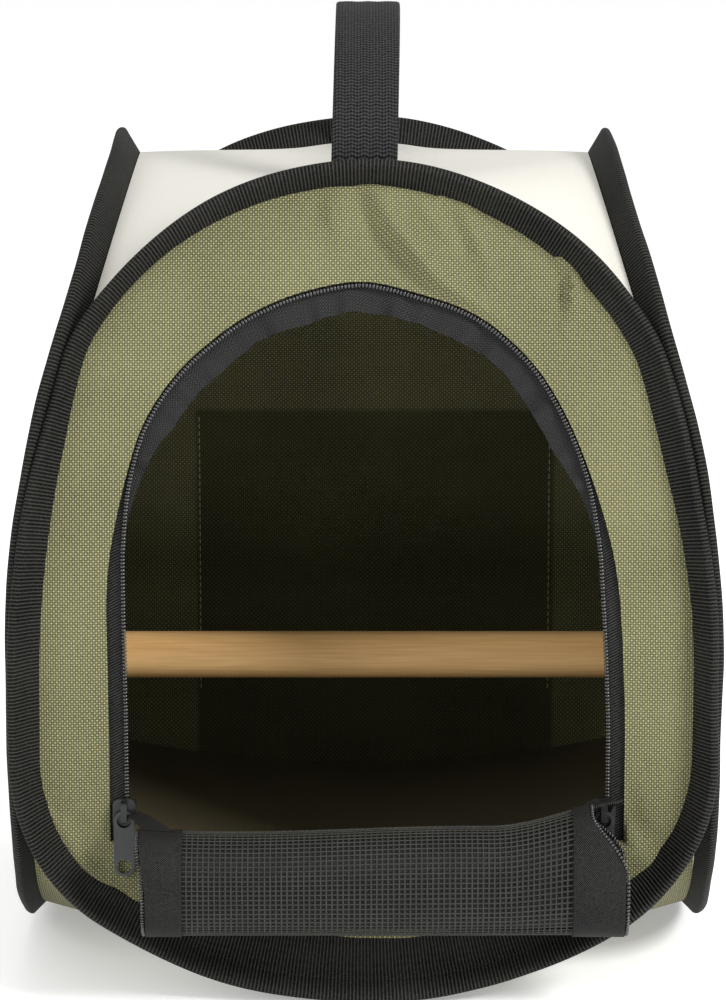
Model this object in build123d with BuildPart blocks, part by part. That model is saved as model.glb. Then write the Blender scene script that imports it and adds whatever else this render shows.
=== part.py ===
"""Pop-up carrier for a small bird: four hoops of spring wire in bound seams hold a cloth cabin.

Units are millimetres, +Z is up and the doorway faces -Y. The carrier stands on z = 0.
"""

from build123d import *
import os
from math import asin, atan, atan2, cos, degrees, hypot, radians, sin, sqrt, tan

# ---------------------------------------------------------------- driving dimensions: the hoops
CLOTH = 1.6  # two quilted layers of coated cloth
GAP = 0.1  # between pieces that are sewn face to face
HOOP_TOP_Z = 311.5  # seam at the crown of each hoop
HOOP_LOW_Z = 8.6  # seam at the foot of each hoop
TOP_HALF = 90.0  # half the distance between opposite crowns
WALL_HALF = 128.0  # half the distance between opposite walls where they stand upright
WALL_LEAN = 16.7  # degrees that the upper walls lean in
WALL_BEND_RADIUS = 400.0
CROWN_RADIUS = 123.0  # the hoop's outline, from its crown down to its foot
SHOULDER_RADIUS = 57.0
HEEL_RADIUS = 70.0
FOOT_RADIUS = 183.0
SLOPE_STEPS = 6  # points on each slope between neighbouring hoops

# ---------------------------------------------------------------- driving dimensions: the seam binding
TAPE = 0.7
WIRE_RADIUS = 1.2
WIRE_SIDES = 6
FOLD_RADIUS = WIRE_RADIUS + GAP + TAPE
FOLD_REACH = 12.0  # from the seam out to the wire's centre
FOLD_FLATS = 3
ROOT_GAP = 1.2  # between the two legs of the binding where they are sewn to the cloth
ROOT_REACH = 0.4  # from the seam to the edge of the inner leg

# ---------------------------------------------------------------- driving dimensions: the doorway
DOOR_HALF = 92.1  # from the middle of the doorway to its zip
DOOR_LOW_Z = 61.0
DOOR_TOP_Z = 276.0
DOOR_ARCH_RADIUS = 80.0
DOOR_SHOULDER_RADIUS = 118.0
ZIP_MARGIN = 6.5  # zip tape left showing beside the coil
ZIP_TAPE = 0.6
ZIP_TAPE_WIDTH = 13.0
ZIP_STOP_HEIGHT = 2.6
COIL_WIDTH = 1.8
COIL_HEIGHT = 1.4
FACING_WIDTH = 9.0
FACING_SHEET = 0.9
FACING_LOW_Z = 176.0
SILL_TAPE_LOW_Z = 54.0
SILL_TAPE_TOP_Z = 61.8
SILL_TAPE_HALF = 90.0

# ---------------------------------------------------------------- driving dimensions: the zip sliders
SLIDER_LOW_Z = 66.0
SLIDER_HEIGHT = 12.0
SLIDER_WIDTH = 8.8
SLIDER_PLATE = 1.4
SLIDER_BACK = 1.1
SLIDER_PLAY = 0.2
POST_WIDTH = 3.2
CROWN_WIDTH = 2.4
CROWN_HEIGHT = 8.2
CROWN_LIFT = 3.9
CROWN_BAR = 1.2
PULL_AXIS_Z = 73.2
PULL_WIDTH = 8.0
PULL_LENGTH = 26.0
PULL_SHEET = 1.2
PULL_HOLE_RADIUS = 2.75

# ---------------------------------------------------------------- driving dimensions: the rolled door
ROLL_TOP_RADIUS = 17.5
ROLL_STEP = 1.5  # each half turn is this much tighter
ROLL_HALF_TURNS = 4
ROLL_RUN = 11.5  # straight run between the half turns
ROLL_CENTRE = (-147.4, 58.0)  # y and z of the first half turn
ROLL_START_ANGLE = 25.0
ROLL_LEAD = 3.2  # from the door's hinge seam to the first half turn
ROLL_HALF = 85.5
MESH_LEFT = -70.0
MESH_RIGHT = 80.0
TONGUE_RIGHT = 102.0  # on the right the outer turn stands out past the others
TONGUE_ARC = 70.0
MESH_SHEET = 1.0
BAND_SHEET = 1.8
DOOR_COIL_WIDTH = 1.4

# ---------------------------------------------------------------- driving dimensions: everything else
PERCH_RADIUS = 9.5
PERCH_Z = 106.0
SCREW_RADIUS = 2.0
SCREW_LENGTH = 30.0
SCREW_HEAD_RADIUS = 4.0
SCREW_HEAD = 2.0
WASHER_RADIUS = 11.0
WASHER_SHEET = 1.2
BOARD_HALF = 114.0
BOARD_CORNER = 12.0
BOARD_THICK = 3.0
BOARD_COVER = 1.0
BOARD_BOW = 10.0
BOARD_EDGE_Z = 37.4  # underside of the board at its left and right edges
POCKET_HALF = 76.0
POCKET_LOW_Z = 57.0
POCKET_TOP_Z = 183.0
POCKET_SHEET = 1.2
POCKET_DEPTH = 5.4
POCKET_HEM = 9.0
POCKET_HEM_SHEET = 0.7
HANDLE_WIDTH = 25.0
HANDLE_SHEET = 2.0
HANDLE_TOP_Z = 372.0
HANDLE_FOOT = (87.4, 321.0)  # y and z where the free loop starts
HANDLE_END_SHEET = 1.1
HANDLE_END_TOP_Z = 324.0

# ---------------------------------------------------------------- places worked out from them
FLANGE_REACH = (FOLD_REACH + GAP + FOLD_RADIUS) / sqrt(2) + FOLD_RADIUS
ROLL_FRONT = -ROLL_CENTRE[0] + ROLL_TOP_RADIUS + BAND_SHEET / 2
HOOPS_Y = (ROLL_FRONT - WALL_HALF - FLANGE_REACH) / 2  # puts the origin under the middle of the whole

FRONT = Plane(origin=(0, HOOPS_Y, 0), x_dir=(1, 0, 0), z_dir=(0, -1, 0))
SIDE = Plane(origin=(0, HOOPS_Y, 0), x_dir=(0, 1, 0), z_dir=(1, 0, 0))
PLAN = Plane(origin=(0, HOOPS_Y, 0))
CORNER_VIEWS = (
    Plane(origin=(0, HOOPS_Y, 0), x_dir=(1, 1, 0), z_dir=(1, -1, 0)),
    Plane(origin=(0, HOOPS_Y, 0), x_dir=(1, -1, 0), z_dir=(-1, -1, 0)),
)
MIDDLE = Axis((0, HOOPS_Y, 0), (0, 0, 1))
FAR = 400.0  # past everything
LAYER_LOW_Z = -20.0  # the walls are drawn past the carrier's foot and crown, then cut to shape
LAYER_TOP_Z = HOOP_TOP_Z + 20.0

LEAN = radians(WALL_LEAN)
BEND_REACH = WALL_BEND_RADIUS * tan(LEAN / 2)
BEND_MIDDLE_Z = HOOP_TOP_Z - (WALL_HALF - TOP_HALF) / tan(LEAN)
BEND_LOW_Z = BEND_MIDDLE_Z - BEND_REACH
BEND_TOP_Z = BEND_MIDDLE_Z + BEND_REACH * cos(LEAN)

# On the leaning part of a wall, up the slope from the hoop's crown.
UP_SLOPE = Vector(0, sin(LEAN), cos(LEAN))
OUT_OF_SLOPE = Vector(0, -cos(LEAN), sin(LEAN))
SLOPE = Plane(origin=(0, HOOPS_Y - TOP_HALF, HOOP_TOP_Z), x_dir=(1, 0, 0), z_dir=OUT_OF_SLOPE)


def circles_touch(middle_z, radius, small_radius, half_width):
    """Height of an arc's centre at `half_width`, where it meets smoothly an arc centred on x = 0."""
    return middle_z - sqrt((radius - small_radius) ** 2 - half_width**2)


FOOT_Z = HOOP_LOW_Z + FOOT_RADIUS
HEEL = (WALL_HALF - HEEL_RADIUS, circles_touch(FOOT_Z, FOOT_RADIUS, HEEL_RADIUS, WALL_HALF - HEEL_RADIUS))
HEEL_TURN = degrees(asin(HEEL[0] / (FOOT_RADIUS - HEEL_RADIUS)))


def shoulder_centre():
    """Centre of the arc, on the slope, that joins the crown's arc to the corner of the cabin."""
    reach = CROWN_RADIUS - SHOULDER_RADIUS
    line = TOP_HALF + sin(LEAN) * CROWN_RADIUS - SHOULDER_RADIUS * hypot(1, sin(LEAN))
    a = 1 + sin(LEAN) ** 2
    b = sin(LEAN) * line
    rise = (b + sqrt(b**2 - a * (line**2 - reach**2))) / a
    return line - sin(LEAN) * rise, rise - CROWN_RADIUS


SHOULDER = shoulder_centre()
SHOULDER_TURN = degrees(atan(sin(LEAN)))  # from level to the outward side of the corner's line
CROWN_TURN = degrees(atan2(SHOULDER[1] + CROWN_RADIUS, SHOULDER[0]))
SHOULDER_LOW = (
    SHOULDER[0] + SHOULDER_RADIUS * cos(radians(SHOULDER_TURN)),
    SHOULDER[1] + SHOULDER_RADIUS * sin(radians(SHOULDER_TURN)),
)
SHOULDER_TOP = (
    SHOULDER[0] + SHOULDER_RADIUS * cos(radians(CROWN_TURN)),
    SHOULDER[1] + SHOULDER_RADIUS * sin(radians(CROWN_TURN)),
)
SHOULDER_LOW_Z = HOOP_TOP_Z + SHOULDER_LOW[1] * cos(LEAN)


def wall_half(z):
    """Half the distance between opposite walls at a height."""
    if z < BEND_LOW_Z:
        return WALL_HALF
    if z < BEND_TOP_Z:
        return WALL_HALF - WALL_BEND_RADIUS + sqrt(WALL_BEND_RADIUS**2 - (z - BEND_LOW_Z) ** 2)
    return TOP_HALF + tan(LEAN) * (HOOP_TOP_Z - z)


def hoop_half(z):
    """Half the width of a hoop at a height, seen along its axis."""
    up = (z - HOOP_TOP_Z) / cos(LEAN)
    if up > SHOULDER_TOP[1]:
        return sqrt(CROWN_RADIUS**2 - (up + CROWN_RADIUS) ** 2)
    if up > SHOULDER_LOW[1]:
        return SHOULDER[0] + sqrt(SHOULDER_RADIUS**2 - (up - SHOULDER[1]) ** 2)
    if z > HEEL[1]:
        return wall_half(z)
    if z > HEEL[1] - HEEL_RADIUS * cos(radians(HEEL_TURN)):
        return HEEL[0] + sqrt(HEEL_RADIUS**2 - (z - HEEL[1]) ** 2)
    return sqrt(FOOT_RADIUS**2 - (z - FOOT_Z) ** 2)


os.makedirs("parts", exist_ok=True)

# ---------------------------------------------------------------- shared shapes
with BuildSketch() as foot_outline:
    with BuildLine():
        foot = CenterArc((0, FOOT_Z), FOOT_RADIUS, -90, HEEL_TURN)
        heel = CenterArc(HEEL, HEEL_RADIUS, HEEL_TURN - 90, 90 - HEEL_TURN)
        upright = Line(heel @ 1, (WALL_HALF, FAR))
        Line(upright @ 1, (0, FAR))
        mirror(about=Plane.YZ)
    make_face()

with BuildSketch() as crown_outline:
    with BuildLine():
        crown = CenterArc((0, -CROWN_RADIUS), CROWN_RADIUS, 90, CROWN_TURN - 90)
        shoulder = CenterArc(SHOULDER, SHOULDER_RADIUS, CROWN_TURN, SHOULDER_TURN - CROWN_TURN)
        corner = Line(shoulder @ 1, shoulder @ 1 + (shoulder % 1) * FAR)
        Line(corner @ 1, (0, (corner @ 1).Y))
        mirror(about=Plane.YZ)
    make_face()


def doorway_outline(margin):
    """The arched doorway at its zip, larger all round by a margin, and open below the sill."""
    reach = DOOR_SHOULDER_RADIUS - DOOR_ARCH_RADIUS
    arch_z = DOOR_TOP_Z - DOOR_ARCH_RADIUS
    shoulder_x = DOOR_HALF - DOOR_SHOULDER_RADIUS
    shoulder_z = circles_touch(arch_z, DOOR_SHOULDER_RADIUS, DOOR_ARCH_RADIUS, shoulder_x)
    spread = (DOOR_ARCH_RADIUS + margin) / reach
    meet = (-shoulder_x * spread, arch_z + (arch_z - shoulder_z) * spread)
    with BuildSketch() as outline:
        with BuildLine():
            arch = TangentArc([(0, DOOR_TOP_Z + margin), meet], tangent=(1, 0))
            shoulder = TangentArc([arch @ 1, (DOOR_HALF + margin, shoulder_z)], tangent=arch % 1)
            jamb = Line(shoulder @ 1, (DOOR_HALF + margin, 0))
            Line(jamb @ 1, (0, 0))
            mirror(about=Plane.YZ)
        make_face()
    return outline.sketch


def doorway_opening(margin):
    """The doorway above its sill, as a hole."""
    outline = doorway_outline(margin)
    with BuildSketch() as opening:
        add(outline)
        with Locations((0, DOOR_LOW_Z)):
            Rectangle(FAR, FAR, align=(Align.CENTER, Align.MAX), mode=Mode.SUBTRACT)
    return opening.sketch


def doorway_strip(inner, outer, low_z):
    """The strip round the doorway between two margins outside its zip, above a height."""
    outside = doorway_outline(outer)
    inside = doorway_outline(inner)
    with BuildSketch() as strip:
        add(outside)
        add(inside, mode=Mode.SUBTRACT)
        with Locations((0, low_z)):
            Rectangle(FAR, FAR, align=(Align.CENTER, Align.MAX), mode=Mode.SUBTRACT)
    return strip.sketch


def front_layer(inner, outer):
    """A sheet that follows the front wall, between two distances outside its seam surface."""
    with BuildPart() as layer:
        with BuildSketch(SIDE):
            with BuildLine():
                ends = []
                for out in (inner, outer):
                    upright = Line((-WALL_HALF - out, LAYER_LOW_Z), (-WALL_HALF - out, BEND_LOW_Z))
                    bend = JernArc(upright @ 1, (0, 1), WALL_BEND_RADIUS + out, -WALL_LEAN)
                    lean = Line(bend @ 1, bend @ 1 + (bend % 1) * FAR / 4)
                    ends.append((upright @ 0, lean @ 1))
                Line(ends[0][0], ends[1][0])
                Line(ends[0][1], ends[1][1])
            make_face()
        extrude(amount=FAR / 2, both=True)
    return layer.part


def between_walls(inset):
    """All that lies between the front and rear walls, drawn in by an inset."""
    with BuildPart() as block:
        with BuildSketch(SIDE):
            with BuildLine():
                low = Line((0, LAYER_LOW_Z), (WALL_HALF - inset, LAYER_LOW_Z))
                upright = Line(low @ 1, (WALL_HALF - inset, BEND_LOW_Z))
                bend = JernArc(upright @ 1, (0, 1), WALL_BEND_RADIUS - inset, WALL_LEAN)
                lean = Line(bend @ 1, bend @ 1 + (bend % 1) * FAR / 4)
                Line(lean @ 1, (0, (lean @ 1).Y))
                mirror(about=Plane.YZ)
            make_face()
        extrude(amount=FAR / 2, both=True)
    return block.part


def drawn_in(points, inset):
    """The points of a slope that starts level, each moved square to it."""
    moved = [(points[0][0], points[0][1] - inset)]
    for before, here, after in zip(points, points[1:], points[2:] + points[-1:]):
        run = after[0] - before[0]
        rise = after[1] - before[1]
        length = hypot(run, rise)
        moved.append((here[0] + inset * rise / length, here[1] - inset * run / length))
    return moved


def corner_slopes(inset):
    """The block inside the walls, with its crown and foot sloping between neighbouring hoops."""
    crown_drop = HOOP_TOP_Z - SHOULDER_LOW_Z - 2
    foot_rise = HEEL[1] - HOOP_LOW_Z - 3
    crown = [HOOP_TOP_Z - crown_drop * (step / SLOPE_STEPS) ** 2 for step in range(SLOPE_STEPS + 1)]
    foot = [HOOP_LOW_Z + foot_rise * (step / SLOPE_STEPS) ** 2 for step in range(SLOPE_STEPS + 1)]
    crown_points = drawn_in([((hoop_half(z) + wall_half(z)) / sqrt(2), z) for z in crown], inset)
    foot_points = drawn_in([((hoop_half(z) + wall_half(z)) / sqrt(2), z) for z in foot], -inset)
    with BuildSketch() as profile:
        with BuildLine():
            Line((0, crown_points[0][1]), crown_points[0])
            for points in (crown_points, foot_points):
                heading = (1, 0)
                for here, there in zip(points, points[1:]):
                    arc = TangentArc([here, there], tangent=heading)
                    heading = arc % 1
            Polyline(crown_points[-1], (FAR, crown_points[-1][1]), (FAR, foot_points[-1][1]), foot_points[-1])
            Line((0, foot_points[0][1]), foot_points[0])
            mirror(about=Plane.YZ)
        make_face()
    with BuildPart() as slopes:
        add(inside_walls)
        add(inside_walls.rotate(MIDDLE, 90), mode=Mode.INTERSECT)
        for view in CORNER_VIEWS:
            with BuildSketch(view):
                add(profile.sketch)
            extrude(amount=FAR, both=True, mode=Mode.INTERSECT)
    return slopes.part


def fold_points(radius):
    """The folded end of the binding tape, round the wire, in short flats."""
    turns = [radians(-90 + 180 * step / FOLD_FLATS) for step in range(FOLD_FLATS + 1)]
    return [(FOLD_MIDDLE[0] + radius * cos(turn), FOLD_MIDDLE[1] + radius * sin(turn)) for turn in turns]


FOLD_MIDDLE = (FOLD_REACH, GAP + FOLD_RADIUS)
OUTER_ROOT = GAP + 2 * TAPE + ROOT_GAP

# The binding across its seam: x runs out along the flange, y to the hoop's front.
with BuildSketch() as binding_section:
    with BuildLine():
        tape_edge = [(ROOT_REACH, GAP)] + fold_points(FOLD_RADIUS) + [(-OUTER_ROOT, OUTER_ROOT)]
        tape_edge += [(-OUTER_ROOT, OUTER_ROOT - TAPE)]
        tape_edge += fold_points(FOLD_RADIUS - TAPE)[::-1] + [(ROOT_REACH, GAP + TAPE)]
        Polyline(*tape_edge, close=True)
    make_face()

with BuildSketch() as wire_section:
    with Locations(FOLD_MIDDLE):
        RegularPolygon(WIRE_RADIUS, WIRE_SIDES, rotation=180 / WIRE_SIDES)  # its corners in the fold's corners

# Half of the front hoop's seam: where each run or arc starts, and the flange's direction there.
OUT = Vector(1, -1, 0).normalized()
UP = Vector(0, 0, 1)
corner_lean = atan(sqrt(2) * tan(LEAN))
corner_up = UP * cos(corner_lean) - OUT * sin(corner_lean)
corner_out = OUT * cos(corner_lean) + UP * sin(corner_lean)
flange_out = corner_out.dot(OUT_OF_SLOPE)
flange_side = sqrt(1 - flange_out**2)
bend_radius = BEND_REACH / tan(corner_lean / 2)
bend_top_z = BEND_MIDDLE_Z + BEND_REACH * cos(corner_lean)


def front_point(x, z):
    """A point of the front hoop's upright part."""
    return Vector(x, HOOPS_Y - WALL_HALF, z)


def slope_point(x, up):
    """A point of the front hoop's leaning part."""
    return Vector(x, HOOPS_Y - TOP_HALF, HOOP_TOP_Z) + UP_SLOPE * up


def upright_start(middle, radius, turn):
    """Section plane on an arc of the upright part, where it has turned this far from the foot."""
    side = Vector(sin(radians(turn)), 0, -cos(radians(turn)))
    along = Vector(cos(radians(turn)), 0, sin(radians(turn)))
    out = (side + Vector(0, -1, 0)).normalized()
    return Plane(origin=front_point(*middle) + side * radius, x_dir=out, z_dir=-along)


def slope_start(middle, radius, turn):
    """Section plane on an arc of the leaning part, at this angle above level."""
    side = Vector(cos(radians(turn)), 0, 0) + UP_SLOPE * sin(radians(turn))
    along = Vector(-sin(radians(turn)), 0, 0) + UP_SLOPE * cos(radians(turn))
    out = side * flange_side + OUT_OF_SLOPE * flange_out
    return Plane(origin=slope_point(*middle) + side * radius, x_dir=out, z_dir=-along)


upright_corner = front_point(WALL_HALF, BEND_LOW_Z)
leaning_half = TOP_HALF + tan(LEAN) * (HOOP_TOP_Z - bend_top_z)
leaning_corner = Vector(leaning_half, HOOPS_Y - leaning_half, bend_top_z)
corner_run = (slope_point(*SHOULDER_LOW) - leaning_corner).length
half_seam = (
    (upright_start((0, FOOT_Z), FOOT_RADIUS, 0), Axis(front_point(0, FOOT_Z), (0, -1, 0)), HEEL_TURN),
    (upright_start(HEEL, HEEL_RADIUS, HEEL_TURN), Axis(front_point(*HEEL), (0, -1, 0)), 90 - HEEL_TURN),
    (upright_start(HEEL, HEEL_RADIUS, 90), None, BEND_LOW_Z - HEEL[1]),
    (
        Plane(origin=upright_corner, x_dir=OUT, z_dir=-UP),
        Axis(upright_corner - OUT * bend_radius, (-1, -1, 0)),
        degrees(corner_lean),
    ),
    (Plane(origin=leaning_corner, x_dir=corner_out, z_dir=-corner_up), None, corner_run),
    (
        slope_start(SHOULDER, SHOULDER_RADIUS, SHOULDER_TURN),
        Axis(slope_point(*SHOULDER), OUT_OF_SLOPE),
        CROWN_TURN - SHOULDER_TURN,
    ),
    (
        slope_start((0, -CROWN_RADIUS), CROWN_RADIUS, CROWN_TURN),
        Axis(slope_point(0, -CROWN_RADIUS), OUT_OF_SLOPE),
        90 - CROWN_TURN,
    ),
)


def mirrored(place, axis):
    """A section plane and its turning axis on the hoop's other half."""
    flip = Vector(-1, 1, 1)
    plane = Plane(
        origin=Vector(*(a * b for a, b in zip(place.origin, flip))),
        x_dir=Vector(*(a * b for a, b in zip(place.x_dir, flip))),
        z_dir=Vector(*(-a * b for a, b in zip(place.z_dir, flip))),
    )
    if not axis:
        return plane, None
    middle = Vector(*(a * b for a, b in zip(axis.position, flip)))
    turning = Vector(*(-a * b for a, b in zip(axis.direction, flip)))
    return plane, Axis(middle, turning)


whole_seam = list(half_seam)
for plane, axis, size in half_seam[::-1]:
    whole_seam.append((*mirrored(plane, axis), size if axis else -size))

inside_walls = between_walls(CLOTH + GAP)
outside_walls = between_walls(-GAP / 2)
crossed_walls = between_walls(0).rotate(MIDDLE, 90)
cloth_layer = front_layer(-CLOTH, 0)

# ---------------------------------------------------------------- the front hoop: its binding and its wire
with BuildPart() as front_binding:
    for plane, axis, size in whole_seam:
        with BuildSketch(plane):
            add(binding_section.sketch)
        if axis:
            revolve(axis=axis, revolution_arc=size)
        else:
            extrude(amount=-size)
    add(outside_walls, mode=Mode.SUBTRACT)
    Box(2 * FAR, 2 * FAR, FAR, align=(Align.CENTER, Align.CENTER, Align.MAX), mode=Mode.SUBTRACT)

with BuildPart() as front_hoop_wire:
    for plane, axis, size in whole_seam:
        with BuildSketch(plane):
            add(wire_section.sketch)
        if axis:
            revolve(axis=axis, revolution_arc=size)
        else:
            extrude(amount=-size)

hoop_turns = {"front": 0, "right": 90, "rear": 180, "left": 270}
for side, turn in hoop_turns.items():
    with BuildPart() as binding:
        add(front_binding.part.rotate(MIDDLE, turn))
    binding.part.label = f"{side}_binding"
    export_step(binding.part, f"parts/{side}_binding.step")
    with BuildPart() as hoop_wire:
        add(front_hoop_wire.part.rotate(MIDDLE, turn))
    hoop_wire.part.label = f"{side}_hoop_wire"
    export_step(hoop_wire.part, f"parts/{side}_hoop_wire.step")

# ---------------------------------------------------------------- the wall panels
doorway_hole = doorway_opening(ZIP_MARGIN)

with BuildPart() as plain_panel:
    with BuildSketch(FRONT):
        add(foot_outline.sketch)
    extrude(amount=FAR / 2)
    with BuildSketch(SLOPE):
        add(crown_outline.sketch)
    extrude(amount=FAR / 4, both=True, mode=Mode.INTERSECT)
    add(crossed_walls, mode=Mode.INTERSECT)
    add(cloth_layer, mode=Mode.INTERSECT)

with BuildPart() as front_panel:
    add(plain_panel.part)
    with BuildSketch(FRONT):
        add(doorway_hole)
    extrude(amount=FAR, mode=Mode.SUBTRACT)
front_panel.part.label = "front_panel"
export_step(front_panel.part, "parts/front_panel.step")

with BuildPart() as rear_panel:
    add(plain_panel.part.rotate(MIDDLE, 180))
rear_panel.part.label = "rear_panel"
export_step(rear_panel.part, "parts/rear_panel.step")

for side in ("right", "left"):
    with BuildPart() as side_panel:
        add(plain_panel.part.rotate(MIDDLE, hoop_turns[side]))
        add(inside_walls, mode=Mode.INTERSECT)
        with BuildSketch(SIDE):
            with Locations((0, PERCH_Z)):
                Circle(SCREW_RADIUS + 3 * GAP)
        extrude(amount=FAR, both=True, mode=Mode.SUBTRACT)
    side_panel.part.label = f"{side}_panel"
    export_step(side_panel.part, f"parts/{side}_panel.step")

# ---------------------------------------------------------------- the top and base panels, between the walls
outer_slopes = corner_slopes(0)
inner_slopes = corner_slopes(CLOTH)

with BuildPart() as crown_and_foot:
    add(outer_slopes)
    add(inner_slopes, mode=Mode.SUBTRACT)

with BuildPart() as top_panel:
    add(crown_and_foot.solids().sort_by(Axis.Z)[-1])
top_panel.part.label = "top_panel"
export_step(top_panel.part, "parts/top_panel.step")

with BuildPart() as base_panel:
    add(crown_and_foot.solids().sort_by(Axis.Z)[0])
base_panel.part.label = "base_panel"
export_step(base_panel.part, "parts/base_panel.step")

# ---------------------------------------------------------------- the doorway's fixed zip, facing and sill
zip_tape_strip = doorway_strip(0, ZIP_TAPE_WIDTH, DOOR_LOW_Z - ZIP_MARGIN)
zip_tape_layer = front_layer(-CLOTH - GAP - ZIP_TAPE, -CLOTH - GAP)
with BuildPart() as opening_zip_tape:
    with BuildSketch(FRONT):
        add(zip_tape_strip)
    extrude(amount=FAR)
    add(zip_tape_layer, mode=Mode.INTERSECT)
opening_zip_tape.part.label = "opening_zip_tape"
export_step(opening_zip_tape.part, "parts/opening_zip_tape.step")

coil_low_z = DOOR_LOW_Z + ZIP_STOP_HEIGHT + 2 * GAP
coil_strip = doorway_strip(-COIL_WIDTH / 2, COIL_WIDTH / 2, coil_low_z)
coil_layer = front_layer(-CLOTH, -CLOTH + COIL_HEIGHT)
with BuildPart() as opening_zip_coil:
    with BuildSketch(FRONT):
        add(coil_strip)
    extrude(amount=FAR)
    add(coil_layer, mode=Mode.INTERSECT)
opening_zip_coil.part.label = "opening_zip_coil"
export_step(opening_zip_coil.part, "parts/opening_zip_coil.step")

facing_strip = doorway_strip(-FACING_WIDTH, COIL_WIDTH, FACING_LOW_Z)
facing_back = -CLOTH - 2 * GAP - ZIP_TAPE - FACING_SHEET
facing_layer = front_layer(facing_back, facing_back + FACING_SHEET)
with BuildPart() as opening_facing:
    with BuildSketch(FRONT):
        add(facing_strip)
    extrude(amount=FAR)
    add(facing_layer, mode=Mode.INTERSECT)
opening_facing.part.label = "opening_facing"
export_step(opening_facing.part, "parts/opening_facing.step")

with BuildPart() as zip_end_stops:
    with BuildSketch(FRONT.offset(WALL_HALF - CLOTH)):
        with Locations((DOOR_HALF, DOOR_LOW_Z), (-DOOR_HALF, DOOR_LOW_Z)):
            RectangleRounded(COIL_WIDTH + 1, 2 * ZIP_STOP_HEIGHT, 0.8)
        with Locations((0, DOOR_LOW_Z)):
            Rectangle(FAR, FAR, align=(Align.CENTER, Align.MAX), mode=Mode.SUBTRACT)
    extrude(amount=COIL_HEIGHT)
zip_end_stops.part.label = "zip_end_stops"
export_step(zip_end_stops.part, "parts/zip_end_stops.step")

with BuildPart() as door_sill_tape:
    with BuildSketch(FRONT.offset(WALL_HALF + GAP)):
        with Locations((0, SILL_TAPE_LOW_Z)):
            Rectangle(
                2 * SILL_TAPE_HALF,
                SILL_TAPE_TOP_Z - SILL_TAPE_LOW_Z,
                align=(Align.CENTER, Align.MIN),
            )
    extrude(amount=TAPE)
door_sill_tape.part.label = "door_sill_tape"
export_step(door_sill_tape.part, "parts/door_sill_tape.step")

# ---------------------------------------------------------------- the two zip sliders and their pull tabs
slider_middle_z = SLIDER_LOW_Z + SLIDER_HEIGHT / 2
slider_front = WALL_HALF - CLOTH + COIL_HEIGHT + SLIDER_PLAY
slider_back = WALL_HALF - CLOTH - GAP - ZIP_TAPE - SLIDER_PLAY
slider_face = slider_front + SLIDER_PLATE
pull_axis_out = slider_face + (CROWN_LIFT - CROWN_BAR) / 2
for side, hand in (("left", -1), ("right", 1)):
    post_x = hand * (DOOR_HALF - COIL_WIDTH / 2 - SLIDER_PLAY - POST_WIDTH / 2)
    with BuildPart() as slider:
        with BuildSketch(FRONT.offset(slider_front)):
            with Locations((hand * DOOR_HALF, slider_middle_z)):
                RectangleRounded(SLIDER_WIDTH, SLIDER_HEIGHT, 2.6)
        extrude(amount=SLIDER_PLATE)
        with BuildSketch(FRONT.offset(slider_back - SLIDER_BACK)):
            with Locations((hand * DOOR_HALF, slider_middle_z)):
                RectangleRounded(SLIDER_WIDTH, SLIDER_HEIGHT, 2.6)
        extrude(amount=SLIDER_BACK)
        with BuildSketch(FRONT.offset(slider_back - SLIDER_BACK / 2)):
            with Locations((post_x, slider_middle_z)):
                RectangleRounded(POST_WIDTH, SLIDER_HEIGHT - 2, 1.0)
        extrude(amount=slider_front - slider_back + SLIDER_BACK)
        with BuildSketch(SIDE.offset(hand * DOOR_HALF - CROWN_WIDTH / 2)):
            with Locations((-slider_face + GAP, PULL_AXIS_Z)):
                Rectangle(CROWN_LIFT + GAP, CROWN_HEIGHT, align=(Align.MAX, Align.CENTER))
                Rectangle(
                    CROWN_LIFT - CROWN_BAR + GAP,
                    CROWN_HEIGHT - 2 * CROWN_BAR,
                    align=(Align.MAX, Align.CENTER),
                    mode=Mode.SUBTRACT,
                )
        extrude(amount=CROWN_WIDTH)
        crown_corners = slider.edges().filter_by(Axis.X).group_by(Axis.Y)[0]
        fillet(crown_corners, CROWN_BAR * 0.8)
    slider.part.label = f"{side}_zip_slider"
    export_step(slider.part, f"parts/{side}_zip_slider.step")

    rim = PULL_WIDTH / 2 - PULL_HOLE_RADIUS
    top_hole_z = PULL_AXIS_Z + rim / 2 - PULL_WIDTH / 2
    low_hole_z = top_hole_z + PULL_WIDTH - PULL_LENGTH
    with BuildPart() as pull_tab:
        with BuildSketch(FRONT.offset(pull_axis_out - PULL_SHEET / 2)):
            with Locations((hand * DOOR_HALF, (top_hole_z + low_hole_z) / 2)):
                SlotOverall(PULL_LENGTH, PULL_WIDTH, rotation=90)
            with Locations((hand * DOOR_HALF, top_hole_z), (hand * DOOR_HALF, low_hole_z)):
                Circle(PULL_HOLE_RADIUS, mode=Mode.SUBTRACT)
        extrude(amount=PULL_SHEET)
    pull_tab.part.label = f"{side}_pull_tab"
    export_step(pull_tab.part, f"parts/{side}_pull_tab.step")

# ---------------------------------------------------------------- the rolled door
with BuildLine() as roll:
    turn = CenterArc(ROLL_CENTRE, ROLL_TOP_RADIUS, ROLL_START_ANGLE, 180 - ROLL_START_ANGLE)
    Line(turn @ 0 - (turn % 0) * ROLL_LEAD, turn @ 0)
    for half_turn in range(1, ROLL_HALF_TURNS):
        run = Line(turn @ 1, turn @ 1 + (turn % 1) * ROLL_RUN)
        turn = JernArc(run @ 1, run % 1, ROLL_TOP_RADIUS - half_turn * ROLL_STEP, 180)

with BuildLine() as tongue:
    run = Line(
        (ROLL_CENTRE[0] - ROLL_TOP_RADIUS, ROLL_CENTRE[1]),
        (ROLL_CENTRE[0] - ROLL_TOP_RADIUS, ROLL_CENTRE[1] - ROLL_RUN),
    )
    JernArc(run @ 1, run % 1, ROLL_TOP_RADIUS - ROLL_STEP, TONGUE_ARC)

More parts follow.
